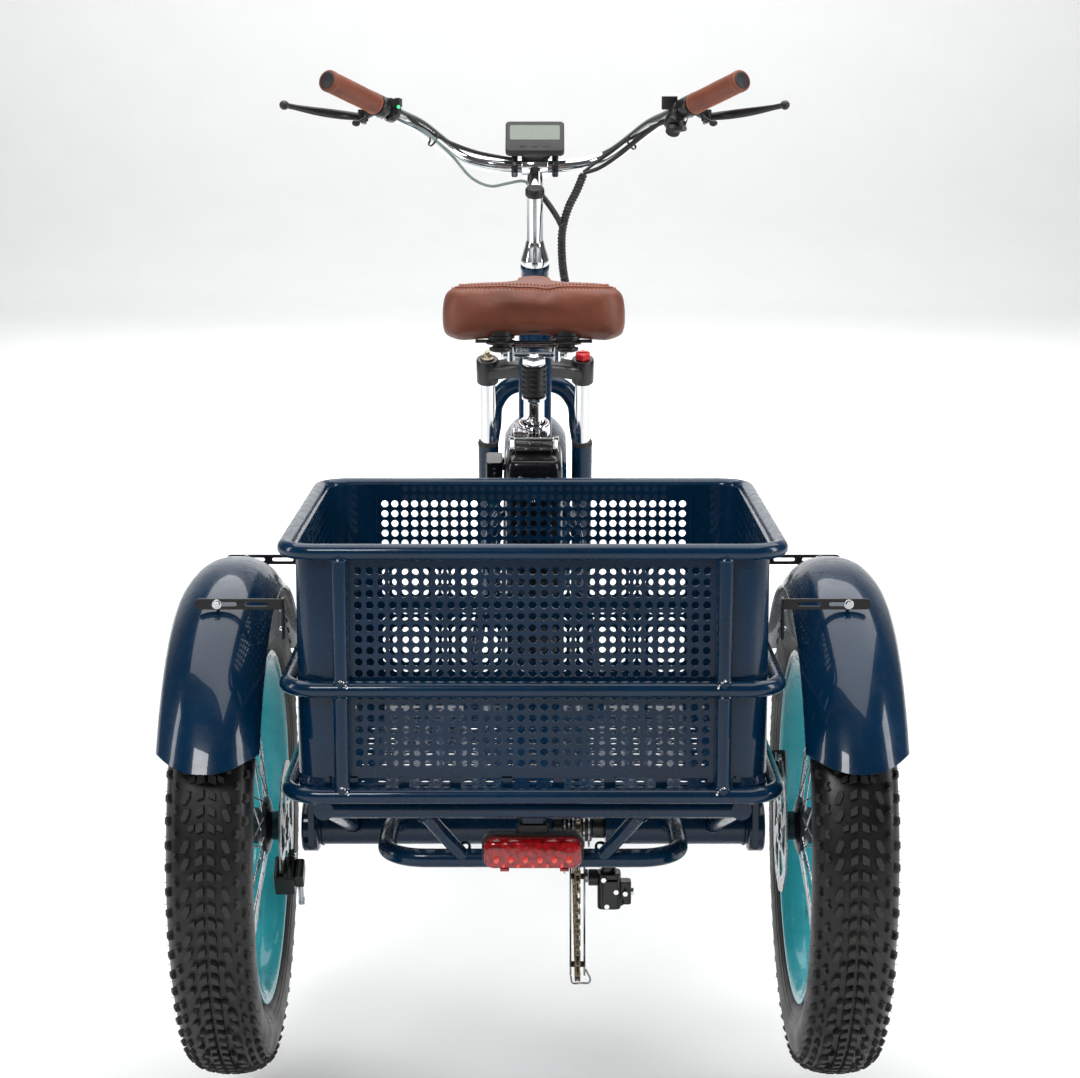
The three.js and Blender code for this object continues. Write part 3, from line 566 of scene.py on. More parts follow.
# ---------------------------------------------------------------- sheet work
def holed(shells, outer, holes, low, high, matrix=None):
    """A plate with holes, from low to high in Z."""
    loops = [[Vector((x, y, 0)) for x, y in loop] for loop in [outer, *holes]]
    flat = [(p.x, p.y) for loop in loops for p in loop]
    triangles = tessellate_polygon(loops)
    n = len(flat)
    verts = [(x, y, low) for x, y in flat] + [(x, y, high) for x, y in flat]
    faces = [tuple(t) for t in triangles] + [tuple(n + i for i in reversed(t)) for t in triangles]
    base = 0
    for loop in loops:
        m = len(loop)
        faces += [(base + k, base + (k + 1) % m, n + base + (k + 1) % m, n + base + k) for k in range(m)]
        base += m
    return shells.add(verts, faces, matrix)


def perforated(shells, place, columns, rows, ratio):
    """A sheet of square cells, each with a round hole. place(u, v, layer) puts a point; layer is 0 or 1."""
    angles = [math.radians(15 + 30 * k) for k in range(12)]
    hole = [(0.5 + ratio / 2 * math.cos(a), 0.5 + ratio / 2 * math.sin(a)) for a in angles]
    edge = []
    for a in angles:
        reach = 0.5 / max(abs(math.cos(a)), abs(math.sin(a)))
        edge.append((0.5 + reach * math.cos(a), 0.5 + reach * math.sin(a)))
    verts, faces = [], []
    for i in range(columns):
        for j in range(rows):
            base = len(verts)
            for layer in (0, 1):
                verts += [place(i + u, j + v, layer) for u, v in hole]
                verts += [place(i + u, j + v, layer) for u, v in edge]
            for k in range(12):
                m = (k + 1) % 12
                faces.append((base + k, base + m, base + 12 + m, base + 12 + k))
                faces.append((base + 24 + m, base + 24 + k, base + 36 + k, base + 36 + m))
                faces.append((base + k, base + 24 + k, base + 24 + m, base + m))
    return shells.add(verts, faces)


def circle(r, steps=32, cx=0.0, cy=0.0):
    return arc(cx, cy, r, 0, 360 * (steps - 1) / steps, steps - 1)


# ---------------------------------------------------------------- wheels
CASING = [(212, 31), (222, 40.5), (246, 47.2), (266, 44.5), (277, 37), (282, 22), (283.4, 0)]


def casing_profile():
    """The tyre's outside from bead to bead and back inside, as (radius, x)."""
    half = [Vector((r, x, 0)) for r, x in CASING]
    whole = half + [Vector((p.x, -p.y, 0)) for p in reversed(half[:-1])]
    outside = [(p.x, p.y) for p in smooth_path(whole, 4)]
    inside = [(211, -28), (236, -43), (262, -40), (276, -18), (276, 18), (262, 40), (236, 43), (211, 28)]
    return outside + inside


def knob(shells, around, x, lean, outline, height, crown):
    """One tread block standing on the casing, its outline drawn for the right-hand side."""
    spin = Matrix.Rotation(around, 4, "X")
    seat = shift((x, 0, crown)) @ Matrix.Rotation(lean, 4, "Y")
    mirror = -1 if x < 0 else 1
    n = len(outline)
    verts = [(px * mirror, py, -2.5) for px, py in outline]
    verts += [(px * mirror * KNOB_TOP, py * KNOB_TOP, height) for px, py in outline]
    faces = [tuple(range(n, 2 * n))] + [(k, (k + 1) % n, n + (k + 1) % n, n + k) for k in range(n)]
    faces.append(tuple(range(n))[::-1])
    shells.add(verts, faces, spin @ seat)


KNOB_TOP = 0.82
WEDGE = [(-4.6, -3.4), (4.6, -7.0), (4.6, 2.2), (-1.0, 6.0), (-4.6, 7.2)]
WING = [(-3.6, -2.6), (3.8, -5.4), (3.8, 1.2), (-3.6, 4.6)]
SLANT = [(-5.6, 8.2), (-5.6, 2.0), (-0.6, -8.0), (5.4, -8.0), (5.4, -2.2), (0.6, 8.2)]
BENT = [(-3.8, -4.0), (-0.4, -6.2), (3.9, -3.4), (3.9, 4.2), (1.2, 6.2), (-2.6, 5.4), (-0.8, 0.6)]
# The pattern repeats round the tyre. Each block has its distance from the middle, lean in degrees,
# outline, height, the casing's radius there, and its places along the repeat.
TREAD = (
    (6.0, 2, WEDGE, 6.6, 283.0, (0.0, 1 / 3, 2 / 3)),
    (14.6, 6, WING, 6.2, 282.4, (0.0,)),
    (21.0, 11, SLANT, 6.3, 281.2, (0.39, 0.75)),
    (31.5, 30, BENT, 5.8, 278.2, (0.14, 0.62)),
    (39.8, 51, BENT, 5.0, 272.6, (0.38, 0.86)),
)


def build_tyre(name, centre, body, repeats):
    casing = Shells(shift(centre))
    casing.turned(casing_profile(), HERE, 120, closed=True)
    for radius, x in ((226, 41.9), (232, 44.0)):
        for side in SIDES:
            casing.turned([(radius + 0.9 * math.cos(t), side * x + 0.9 * math.sin(t))
                           for t in [2 * math.pi * i / 6 for i in range(6)]], HERE, 96, closed=True)
    piece(name, casing, "tyre", body, [name], angle=30)
    tread = Shells(shift(centre))
    for repeat in range(repeats):
        for offset, lean, outline, height, crown, places in TREAD:
            for place in places:
                around = 2 * math.pi * (repeat + place) / repeats
                for side in SIDES:
                    knob(tread, around, side * offset, side * math.radians(lean), outline, height, crown)
        for place in (0.2, 0.7):
            spin = Matrix.Rotation(2 * math.pi * (repeat + place) / repeats, 4, "X")
            for side in SIDES:
                tread.rod(spin @ Vector((side * 43.6, 0, 266)), spin @ Vector((side * 47.6, 0, 268.4)), 0.4,
                          4)
    # The knobs wear the lighter tread rubber, a painted highlight of the light on their tops.
    piece(name + "_tread", tread, "tread", body, bevel=0.6, angle=30, segments=1)



RIM_SECTION = [(209, -40), (209, -37.6), (204, -36.4), (202, -30), (202, 30), (204, 36.4), (209, 37.6),
               (209, 40),
               (206.5, 40.6), (203, 39.6), (198, 36), (193, 24), (191, 10), (191, -10), (193, -24),
               (198, -36),
               (203, -39.6), (206.5, -40.6)]


# Radius at which the spokes meet the rim, and the place of the disc across the wheel.
SPOKE_END = 192
DISC_X = -58.4


def build_wheel(prefix, centre, side, shell_r, flange_r, spokes):
    """Rim, hub, spokes, nipples, valve and disc. side turns the disc end inwards."""
    body = prefix + "_wheel"
    place = shift(centre) @ Matrix.Scale(side, 4, ACROSS)
    rim = Shells(place)
    section = [(r, x * 0.985) for r, x in RIM_SECTION]
    rim.turned(section, HERE, 128, closed=True)
    piece(prefix + "_rim", rim, "aqua", body, [prefix + "_rim"], angle=40)

    hub = Shells(place)
    f, s = flange_r, shell_r
    hub.turned([(0.1, -56), (15, -56), (17, -54), (17, -42), (f - 3, -38), (f, -36.5), (f, -31.5),
                (f - 3, -30),
                (s, -26), (s - 1.5, 0), (s, 26), (f - 3, 30), (f, 31.5), (f, 36.5), (f - 3, 38), (17, 40),
                (16, 48),
                (11, 50), (0.1, 50)], HERE, 48)
    for ring in (-34, 34):
        for k in range(spokes // 2):
            a = 2 * math.pi * (k + 0.5) / (spokes // 2)
            spot = Vector((ring, (f - 4.5) * math.sin(a), (f - 4.5) * math.cos(a)))
            hub.rod(spot - ACROSS * 3.4, spot + ACROSS * 3.4, 2.0, 8)
    piece(prefix + "_hub", hub, "black", body, [prefix + "_hub"], bevel=0.5)
    nut = Shells(place)
    nut.turned([(9.5, 49), (9.5, 53), (6, 55.5), (0.1, 56)], HERE, 6)
    nut.rod((44, 0, 0), (50.8, 0, 0), 11.5, 24)
    piece(prefix + "_axle_nut", nut, "alloy", body, bevel=0.4)

    wires, nipples = Shells(place), Shells(place)
    pairs = spokes // 4
    for flange in SIDES:
        for k in range(2 * pairs):
            a = math.pi * (k + (0.5 if flange > 0 else 0)) / pairs
            lay = (1 if k % 2 else -1) * math.radians(52 if flange_r < 50 else 24)
            head = Vector((flange * (35.5 if k % 2 else 32.5), (f - 4.5) * math.sin(a + lay),
                           (f - 4.5) * math.cos(a + lay)))
            tip = Vector((flange * 7, SPOKE_END * math.sin(a), SPOKE_END * math.cos(a)))
            wires.rod(head, tip, 1.05, 8)
            way = (head - tip).normalized()
            nipples.rod(tip, tip + way * 12, 2.3, 8, end=1.7)
    piece(prefix + "_spokes", wires, "spoke", body)
    piece(prefix + "_nipples", nipples, "chrome", body)

    stem = Shells(place)
    a = math.radians(38)
    out = Vector((0, math.sin(a), math.cos(a)))
    stem.rod(out * SPOKE_END, out * 158, 2.6, 12)
    stem.rod(out * 166, out * 152, 3.8, 16, end=3.1)
    stem.rod(out * 191, out * 186, 5.2, 6)
    piece(prefix + "_valve", stem, "rubber", body, bevel=0.3)

    disc = Shells(place @ shift((DISC_X, 0, 0)) @ rotation(90, "Y"))
    wave = [((78.6 + 1.2 * math.cos(12 * t)) * math.cos(t), (78.6 + 1.2 * math.cos(12 * t)) * math.sin(t))
            for t in [2 * math.pi * i / 144 for i in range(144)]]
    windows = []
    for k in range(6):
        start = 60 * k + 12
        windows.append(arc(0, 0, 60, start, start + 38, 8) + arc(0, 0, 30, start + 52, start + 10, 6))
    vents = []
    for k in range(24):
        for r, skew in ((65.5, 0), (70.5, 3.5), (75, 7)):
            t = math.radians(15 * k + skew)
            vents.append(circle(1.9, 10, r * math.cos(t), r * math.sin(t)))
    holed(disc, wave, [circle(19, 32), *windows, *vents], 0.1, 1.9)
    piece(prefix + "_rotor", disc, "disc", body, [prefix + "_rotor"], angle=50)
    bolts = Shells(place)
    for k in range(6):
        t = 2 * math.pi * k / 6
        spot = Vector((DISC_X - 1, 23.5 * math.cos(t), 23.5 * math.sin(t)))
        bolts.rod(spot, spot + ACROSS * 2.6, 3.6, 12)
    carrier = Shells(place)
    carrier.turned([(17, -56.3), (27, -56.3), (27, -53), (17, -50)], HERE, 36, closed=True)
    piece(prefix + "_disc_carrier", carrier, "black", body, bevel=0.4)
    piece(prefix + "_disc_bolts", bolts, "chrome", body, bevel=0.3)


class TRIKE_OT_wheels(Operator):
    """Build the three wheels with their tyres, rims, spokes and discs"""

    bl_idname = "trike.wheels"
    bl_label = "Wheels"

    def execute(self, context):
        sizes = context.scene.trike_sizes
        places = (
            ("left", Vector((-HALF_TRACK, 0, TYRE_R)), -1, 22, 34),
            ("right", Vector((HALF_TRACK, 0, TYRE_R)), 1, 22, 34),
            ("front", Vector((0, WHEELBASE, TYRE_R)), 1, 62, 70),
        )
        for prefix, centre, side, shell_r, flange_r in places:
            build_tyre(prefix + "_tyre", centre, prefix + "_wheel", sizes.tread_repeats)
            build_wheel(prefix, centre, side, shell_r, flange_r, sizes.spokes)
        return {"FINISHED"}


# ---------------------------------------------------------------- welded frame
RACK_Z = 376
RAIL_REAR, RAIL_FRONT, RAIL_X = -225, 215, 228


def build_main_frame():
    tubes = Shells()
    low, high = on_head(0, 0, HEAD_LOW), on_head(0, 0, HEAD_HIGH)
    bore = [(22, 0), (22.8, 2), (22.8, 8), (22, 10), (22, 152), (22.8, 154), (22.8, 160), (22, 162),
            (17.3, 162),
            (17.3, 0)]
    tubes.turned(bore, axis_frame(low, high), 40, closed=True)
    sweep = [on_head(0, 0, 570), (0, 1050, 690), (0, 960, 520), (0, 850, 400), (0, 700, 326), (0, 556, 301)]
    tubes.tube(sweep, 26, 40, 12)
    tubes.turned([(17, 0), (17, 424), (18.4, SEAT_TUBE_TOP - 1), (18.4, SEAT_TUBE_TOP),
                  (14.3, SEAT_TUBE_TOP), (14.3, 70), (5, 66), (5, 0)],
                 axis_frame(on_seat(0, 0, 0), on_seat(0, 0, SEAT_TUBE_TOP)), 36, closed=True)
    tubes.rod((-14, 545, 300), (-14, 24, 290), 20, 32)
    tubes.tube([(0, 880, 430), (0, 700, 420), on_seat(0, 14, 150)], 14, 24, 12)
    tubes.turned([(24, -34), (24, 34), (17.5, 34), (17.5, -34)], shift(CRANK), 36, closed=True)
    for s in SIDES:
        tubes.tube([on_seat(s * 8, 0, 322), on_seat(s * 48, 0, 304), (s * 62, 392, 522), (s * 84, 262, 382),
                    (s * 85, 238, 378)], 8, 18, 8)
        tubes.bead(on_seat(s * 15, 0, 320), on_seat(1, 0, 0) - on_seat(0, 0, 6), 8.5)
    way = on_head(0, 0, 640) - on_head(0, 0, HEAD_LOW)
    tubes.bead(on_seat(0, 0, 160), on_seat(0, 0, 1) - on_seat(0, 0, 0), 17.4, 2)
    tubes.bead(CRANK, ACROSS, 24.5, 1.2)
    tubes.bead(on_head(0, -24, 588), Vector((0, -0.75, -0.62)), 25.5, 2.2)
    tubes.bead(on_head(0, 0, 512), way, 22.4, 1.2)
    piece("main_frame", tubes, "navy", "frame", ["main_frame"], angle=40)


def bumper_path():
    z, w, rear, c = 303, 166, -172, 46
    left = [(-w + 14, -2, z - 10), (-w + 2, -30, z - 2), (-w, -50, z)]
    bend = [(x, y, z) for x, y in arc(-w + c, rear + c, c, 180, 270, 8)]
    half = left + bend + [(-60, rear, z)]
    return half + [(-x, y, height) for x, y, height in reversed(half)]


def build_rear_subframe():
    tubes = Shells()
    r = RAIL_X
    for start, finish_x in ((-262, 18), (90, 262)):
        tubes.rod((start, 0, TYRE_R), (finish_x, 0, TYRE_R), 22, 36)
    for x in (18, 90):
        tubes.turned([(22, -5), (24.5, -4), (24.5, 4), (22, 5), (16, 5), (16, -5)],
                     shift((x, 0, TYRE_R)), 36, closed=True)
    tubes.rod((-r, RAIL_REAR, RACK_Z), (r, RAIL_REAR, RACK_Z), 11, 24)
    tubes.rod((-r, RAIL_FRONT, RACK_Z), (r, RAIL_FRONT, RACK_Z), 11, 24)
    tubes.tube(bumper_path(), 10.5, 24, 3)
    for s in SIDES:
        tubes.rod((s * r, RAIL_REAR - 11, RACK_Z), (s * r, RAIL_FRONT + 11, RACK_Z), 11, 24)
        tubes.turned([(30, -8), (30, 8), (27, 10), (18, 10), (18, -10), (27, -10)],
                     shift((s * 264, 0, TYRE_R)), 40, closed=True)
        tubes.rod((s * 258, 0, RACK_Z - 6), (s * (r - 4), 0, RACK_Z), 9, 20)
        tubes.rod((s * 212, 0, TYRE_R), (s * r, RAIL_REAR, RACK_Z), 9, 20)
        tubes.rod((s * 212, 0, TYRE_R), (s * r, RAIL_FRONT, RACK_Z), 9, 20)
        tubes.rod((s * 76, -172, 303), (s * 124, RAIL_REAR, RACK_Z), 8, 20)
        tubes.bead((s * 78, -174, 314), Vector((s * 48, -53, 73)), 8.4)
        tubes.bead((s * 118, RAIL_REAR + 8, 366), Vector((s * 48, -53, 73)), 8.4)
        tubes.bead((s * 212, -20, 298), Vector((s * 16, -225, 86)), 9.4)
        tubes.bead((s * 152, -12, 296), Vector((s * 14, -48, 8)), 11)
        tubes.bead((s * 250, 0, TYRE_R), ACROSS, 22.3)
    piece("rear_subframe", tubes, "navy", "frame", ["rear_subframe"], angle=40)
    plates = Shells()
    for s in SIDES:
        turn = shift((s * 262, 0, TYRE_R + 36)) @ rotation(90, "Z") @ rotation(90, "X")
        holed(plates, rounded(64, 118, 8),
              [circle(9, 20, -18, 30), circle(9, 20, 18, 30), rounded(22, 10, 5, 5, 0, 48)],
              -3.5, 3.5, turn)
    piece("dropout_plates", plates, "navy", "frame", bevel=0.8)


class TRIKE_OT_frame(Operator):
    """Build the welded main frame and the rear subframe"""

    bl_idname = "trike.frame"
    bl_label = "Frame"

    def execute(self, context):
        build_main_frame()
        build_rear_subframe()
        return {"FINISHED"}


# ---------------------------------------------------------------- basket
RING_R, RING_HALF_W, RING_REAR, RING_FRONT, RING_CORNER = 9, 267, -250, 238, 36
RING_HEIGHTS = (665, 515, 397)
POST_X = 206
TRAY_HALF_W, TRAY_REAR, TRAY_FRONT, TRAY_LOW, TRAY_HIGH, TRAY_WALL = 257, -240, 228, 391, 667, 2
TRAY_MIDDLE = (TRAY_REAR + TRAY_FRONT) / 2
HOLES_ACROSS, HOLES_HIGH = 31, 18
HOLES_LOW = 424
# Painted highlights: small chrome blobs that stand for the glints of light on the navy welds where the posts
# meet the lower rings, placed across and up from the ring's middle.
WELD_GLINTS = ((5.5, 6.5), (3.0, 9.0), (0.0, 10.2), (-2.6, 9.4), (6.8, 3.4))


def build_basket_frame():
    tubes = Shells()
    middle, depth = (RING_REAR + RING_FRONT) / 2, RING_FRONT - RING_REAR
    loop = rounded(2 * RING_HALF_W, depth, RING_CORNER, 10, 0, middle)
    for z in RING_HEIGHTS:
        tubes.tube([(x, y, z) for x, y in loop], RING_R, 24, smooth=False, closed=True)
    for x in (-POST_X, POST_X):
        for y in (RING_REAR, RING_FRONT):
            tubes.rod((x, y, RING_HEIGHTS[2]), (x, y, RING_HEIGHTS[0]), RING_R - 0.4, 24)
    piece("basket_rings", tubes, "navy", "frame", ["basket_frame"])

    beads = Shells()
    for x in (-POST_X, POST_X):
        for y in (RING_REAR, RING_FRONT):
            for z in RING_HEIGHTS:
                for end in SIDES:
                    above_top = z == RING_HEIGHTS[0] and end > 0
                    below_bottom = z == RING_HEIGHTS[2] and end < 0
                    if not above_top and not below_bottom:
                        beads.bead((x, y, z + end * 8.4), UP, RING_R - 0.2, 1.5)
    piece("basket_welds", beads, "navy", "frame")
    # Small chrome blobs as painted highlights: the glints of light on the welds.
    glints = Shells()
    for x in (-POST_X, POST_X):
        for y, way in ((RING_REAR, -1), (RING_FRONT, 1)):
            for z in RING_HEIGHTS[1:]:
                for k, (across, rise) in enumerate(WELD_GLINTS):
                    spot = Vector((x - across * (1 if x > 0 else -1), y + way * (7.4 + 0.4 * (k % 2)),
                                   z + rise))
                    glints.ball(spot, 1.5 + 0.5 * (k % 3), 6, 10, 0.8)
    piece("painted_weld_glints", glints, "chrome", "frame")


def corner_band(shells, x_side, y_side, start_x, start_y, low, high):
    """The plain upright sheet round one corner of the liner."""
    cx = x_side * (TRAY_HALF_W - RING_CORNER)
    edge_y = TRAY_FRONT if y_side > 0 else TRAY_REAR
    cy = edge_y - y_side * RING_CORNER
    rim = []
    for inset in (0, TRAY_WALL):
        r = RING_CORNER - inset
        turn = [math.radians(9 * k) for k in range(11)]
        line = [(x_side * start_x, edge_y - y_side * inset)]
        line += [(cx + x_side * r * math.sin(a), cy + y_side * r * math.cos(a)) for a in turn]
        line.append((x_side * (TRAY_HALF_W - inset), start_y))
        rim.append(line)
    shells.prism(rim[0] + rim[1][::-1], low, high)


def build_liner(sizes):
    pitch, ratio = sizes.hole_pitch / MM, sizes.hole_width / sizes.hole_pitch
    half = HOLES_ACROSS * pitch / 2
    top = HOLES_LOW + HOLES_HIGH * pitch
    inner = TRAY_HALF_W - TRAY_WALL

    def across(y, way):
        return lambda u, v, layer: Vector((-half + u * pitch, y + way * layer * TRAY_WALL,
                                           HOLES_LOW + v * pitch))

    def along(x, way):
        return lambda u, v, layer: Vector(
            (x + way * layer * TRAY_WALL, TRAY_MIDDLE - half + u * pitch, HOLES_LOW + v * pitch))

    walls = (
        ("liner_rear", across(TRAY_REAR, 1)),
        ("liner_front", across(TRAY_FRONT, -1)),
        ("liner_left", along(-TRAY_HALF_W, 1)),
        ("liner_right", along(TRAY_HALF_W, -1)),
    )
    for number, (name, place) in enumerate(walls):
        sheet = Shells()
        perforated(sheet, place, HOLES_ACROSS, HOLES_HIGH, ratio)
        stands_for = ["basket_tray"] if number == 0 else ()
        piece(name, sheet, "navy", "frame", stands_for, angle=40)

    plain = Shells()
    for x_side in SIDES:
        for y_side in SIDES:
            corner_band(plain, x_side, y_side, half, TRAY_MIDDLE + y_side * half, HOLES_LOW - 10, TRAY_HIGH)
    for y in (TRAY_REAR + TRAY_WALL / 2, TRAY_FRONT - TRAY_WALL / 2):
        for low, high in ((HOLES_LOW - 10, HOLES_LOW), (top, TRAY_HIGH)):
            plain.block((2 * half, TRAY_WALL, high - low), (0, y, (low + high) / 2), r=0.01)
    for x in (-TRAY_HALF_W + TRAY_WALL / 2, TRAY_HALF_W - TRAY_WALL / 2):
        for low, high in ((HOLES_LOW - 10, HOLES_LOW), (top, TRAY_HIGH)):
            plain.block((TRAY_WALL, 2 * half, high - low), (x, TRAY_MIDDLE, (low + high) / 2), r=0.01)
    piece("liner_bands", plain, "navy", "frame", angle=40)

    # The sheet stands on short tabs, which leave slots of light over the lowest ring.
    tabs = Shells()
    tab_size, tab_z = 12, HOLES_LOW - 15
    for k in range(8):
        x = -196 + 56 * k
        for y in (TRAY_REAR + 1, TRAY_FRONT - 1):
            tabs.block((tab_size, TRAY_WALL, 14), (x, y, tab_z), r=0.01)
        for side in SIDES:
            tabs.block((TRAY_WALL, tab_size, 14), (side * (TRAY_HALF_W - 1), TRAY_MIDDLE + x * 0.95, tab_z),
                       r=0.01)
    for side in SIDES:
        for y in (TRAY_REAR, TRAY_FRONT):
            way = 1 if y < 0 else -1
            tabs.block((8, TRAY_WALL, 14), (side * 222, y + way, tab_z), r=0.01)
    lip = rounded(2 * TRAY_HALF_W, TRAY_FRONT - TRAY_REAR, RING_CORNER, 8, 0, TRAY_MIDDLE)
    inside = rounded(2 * inner, TRAY_FRONT - TRAY_REAR - 2 * TRAY_WALL, RING_CORNER - 2, 8, 0, TRAY_MIDDLE)
    holed(tabs, lip, [inside], TRAY_LOW, HOLES_LOW - 20)
    piece("liner_tabs", tabs, "navy", "frame", angle=40)

    rows, cols = 17, 19
    cell = 24.0
    floor = Shells()

    def on_floor(u, v, layer):
        return Vector(((u - cols / 2) * cell, TRAY_MIDDLE + (v - rows / 2) * cell,
                       TRAY_LOW + (1 - layer) * TRAY_WALL))

    perforated(floor, on_floor, cols, rows, 0.5)
    half_x, half_y = cols * cell / 2, rows * cell / 2
    corners = ((half_x, half_y), (-half_x, half_y), (-half_x, -half_y), (half_x, -half_y))
    field = [(x, TRAY_MIDDLE + y) for x, y in corners]
    holed(floor, inside, [field], TRAY_LOW, TRAY_LOW + TRAY_WALL)
    piece("liner_floor", floor, "navy", "frame", angle=40)

    # A pressed rib stands at each side of the field of holes in the rear and front walls.
    ribs = Shells()
    for y in (TRAY_REAR - 0.3, TRAY_FRONT - 1.7):
        for x in (-half - 5, half + 5):
            ribs.block((3, 1.6, top - HOLES_LOW + 12), (x, y, (top + HOLES_LOW) / 2), r=0.7)
    piece("liner_ribs", ribs, "navy", "frame", angle=60)


class TRIKE_OT_basket(Operator):
    """Build the basket's tube rings and its perforated liner"""

    bl_idname = "trike.basket"
    bl_label = "Basket"

    def execute(self, context):
        build_basket_frame()
        build_liner(context.scene.trike_sizes)
        return {"FINISHED"}


# ---------------------------------------------------------------- fenders
# Outer radius, half width, and the angles of its two ends, counted back from straight up and forward.
REAR_FENDER = (321, 56, 30, 153)
FRONT_FENDER = (334, 52, 35, 168)


def crown(outer_r, half_w, t):
    """One point across a fender's crowned section, t from -1 to 1."""
    drop = 34 * abs(t) ** 2.6
    return outer_r - drop, t * half_w


def build_fender(name, outer_r, half_w, start, finish_at, centre, body):
    """A crowned sheet, bent round the wheel, with rolled edges."""
    shells = Shells(shift(centre))
    steps, turns = 20, 72
    section = [crown(outer_r, half_w, -1 + 2 * i / steps) for i in range(steps + 1)]
    inner = [crown(outer_r - 2, half_w - 0.6, 1 - 2 * i / steps) for i in range(steps + 1)]
    edge_r, edge_x = section[-1]
    bead = [(edge_r - 1.2, edge_x + 0.2), (edge_r - 3.2, edge_x - 1.4)]
    section = section + bead + inner + [(r, -x) for r, x in reversed(bead)]
    rings = []
    for k in range(turns + 1):
        share = 2 * k / turns - 1
        middle, reach = (start + finish_at) / 2, (finish_at - start) / 2
        ring = []
        for r, x in section:
            # The sheet's corners are cut back, so that each end is round.
            a = math.radians(middle + share * (reach + 1 - 6 * abs(x / half_w) ** 2.4))
            ring.append(Vector((x, r * math.cos(a), r * math.sin(a))))
        rings.append(ring)
    shells.loft(rings)
    piece(name, shells, "navy", body, [name], angle=50)


def build_stay(name, side, end):
    """A flat slotted bar from the basket to the top of a rear fender."""
    y, z, high = end * 141, 587, 12
    start, bolt_x, finish_x = 277.4, HALF_TRACK, 377
    # The fender crosses the bar, so the bar stops short of its skin on the outer side.
    turn = shift((0, y, z)) @ rotation(90, "X")
    middle, length = side * (start + finish_x) / 2, finish_x - start
    slots = [rounded(wide, 4.6, 2.2, 4, side * (bolt_x - back), 0) for wide, back in ((26, 44), (20, 12))]
    bar = Shells()
    holed(bar, rounded(length, high, 5.5, 6, middle, 0), slots, -1.5, 1.5, turn)
    bar.block((3, 14, 46), (side * (start + 1.5), y - end * 5.5, z - 17), r=1)
    piece(name, bar, "black", "frame", [name], bevel=0.5, angle=50)
    bolts = Shells()
    x = side * bolt_x
    for reach, back, r, sides in ((6.4, 2, 4.0, 6), (3, 2, 5.6, 20), (0, 9, 2.4, 12)):
        bolts.rod((x, y - end * back, z), (x, y + end * reach, z), r, sides)
    for dz in (-8, -30):
        spot = Vector((side * (start + 2), y - end * 6, z + dz))
        bolts.rod(spot, spot + ACROSS * side * 4, 3.4, 6)
    piece(name + "_bolt", bolts, "chrome", "frame", bevel=0.4)


class TRIKE_OT_fenders(Operator):
    """Build the three fenders and the rear fenders' stays"""

    bl_idname = "trike.fenders"
    bl_label = "Fenders"

    def execute(self, context):
        for side in SIDES:
            name = side_name(side)
            centre = Vector((side * HALF_TRACK, 0, TYRE_R))
            build_fender(name + "_rear_fender", *REAR_FENDER, centre, "frame")
            for end in SIDES:
                build_stay(f"{name}_fender_stay_{'rear' if end < 0 else 'front'}", side, end)
        build_fender("front_fender", *FRONT_FENDER, Vector((0, WHEELBASE, TYRE_R)), "fork_slider")
        return {"FINISHED"}


# ---------------------------------------------------------------- tail light
def build_tail_light():
    face_on = rotation(90, "X")
    shell = Shells()
    place = shift((0, -191, 322)) @ face_on
    shell.prism(rounded(113, 38, 12), 0, 14.2, place)
    shell.block((30, 3, 40), (0, -192.6, 356), r=1)
    shell.block((30, 24, 3), (0, -203, 368.4), r=1)
    shell.block((36, 9, 12), (0, -198, 344), r=3)
    piece("tail_light_housing", shell, "plastic", "frame", ["tail_light_housing"], bevel=1.2)
    bracket = Shells()
    bracket.block((24, 4, 14), (0, -197, 354), r=1.2)
    piece("tail_light_bracket", bracket, "navy", "frame", bevel=0.8)

    glass = Shells()
    place = shift((0, -205.2, 321)) @ face_on
    outline = rounded(109, 33, 11, 8)
    layers = ((1.0, 1.0, 0), (1.0, 1.0, 9), (0.985, 0.95, 13), (0.95, 0.86, 15.6), (0.88, 0.7, 16.8))
    glass.matrix = place
    glass.loft([[Vector((x * a, y * b, z)) for x, y in outline] for a, b, z in layers])
    piece("tail_light_lens", glass, "red_lens", "frame", ["tail_light_lens"], angle=50)
    lamps = Shells()
    for k in range(6):
        spot = Vector((-40 + 16 * k, -221.4, 316))
        lamps.ball(spot, 4.4, 6, 14, 0.8)
    for k in range(5):
        lamps.ball((-32 + 16 * k, -220.6, 309.5), 3.0, 6, 12, 0.7)
    piece("tail_light_lamps", lamps, "led", "frame")
    clips = Shells()
    for x in (-31, 35):
        clips.block((10, 14, 3), (x, -213, 303.6), r=1)
    piece("tail_light_clips", clips, "red_lens", "frame", bevel=0.4)


class TRIKE_OT_tail_light(Operator):
    """Build the tail light with its lens, lamps and bracket"""

    bl_idname = "trike.tail_light"
    bl_label = "Tail light"

    def execute(self, context):
        build_tail_light()
        return {"FINISHED"}


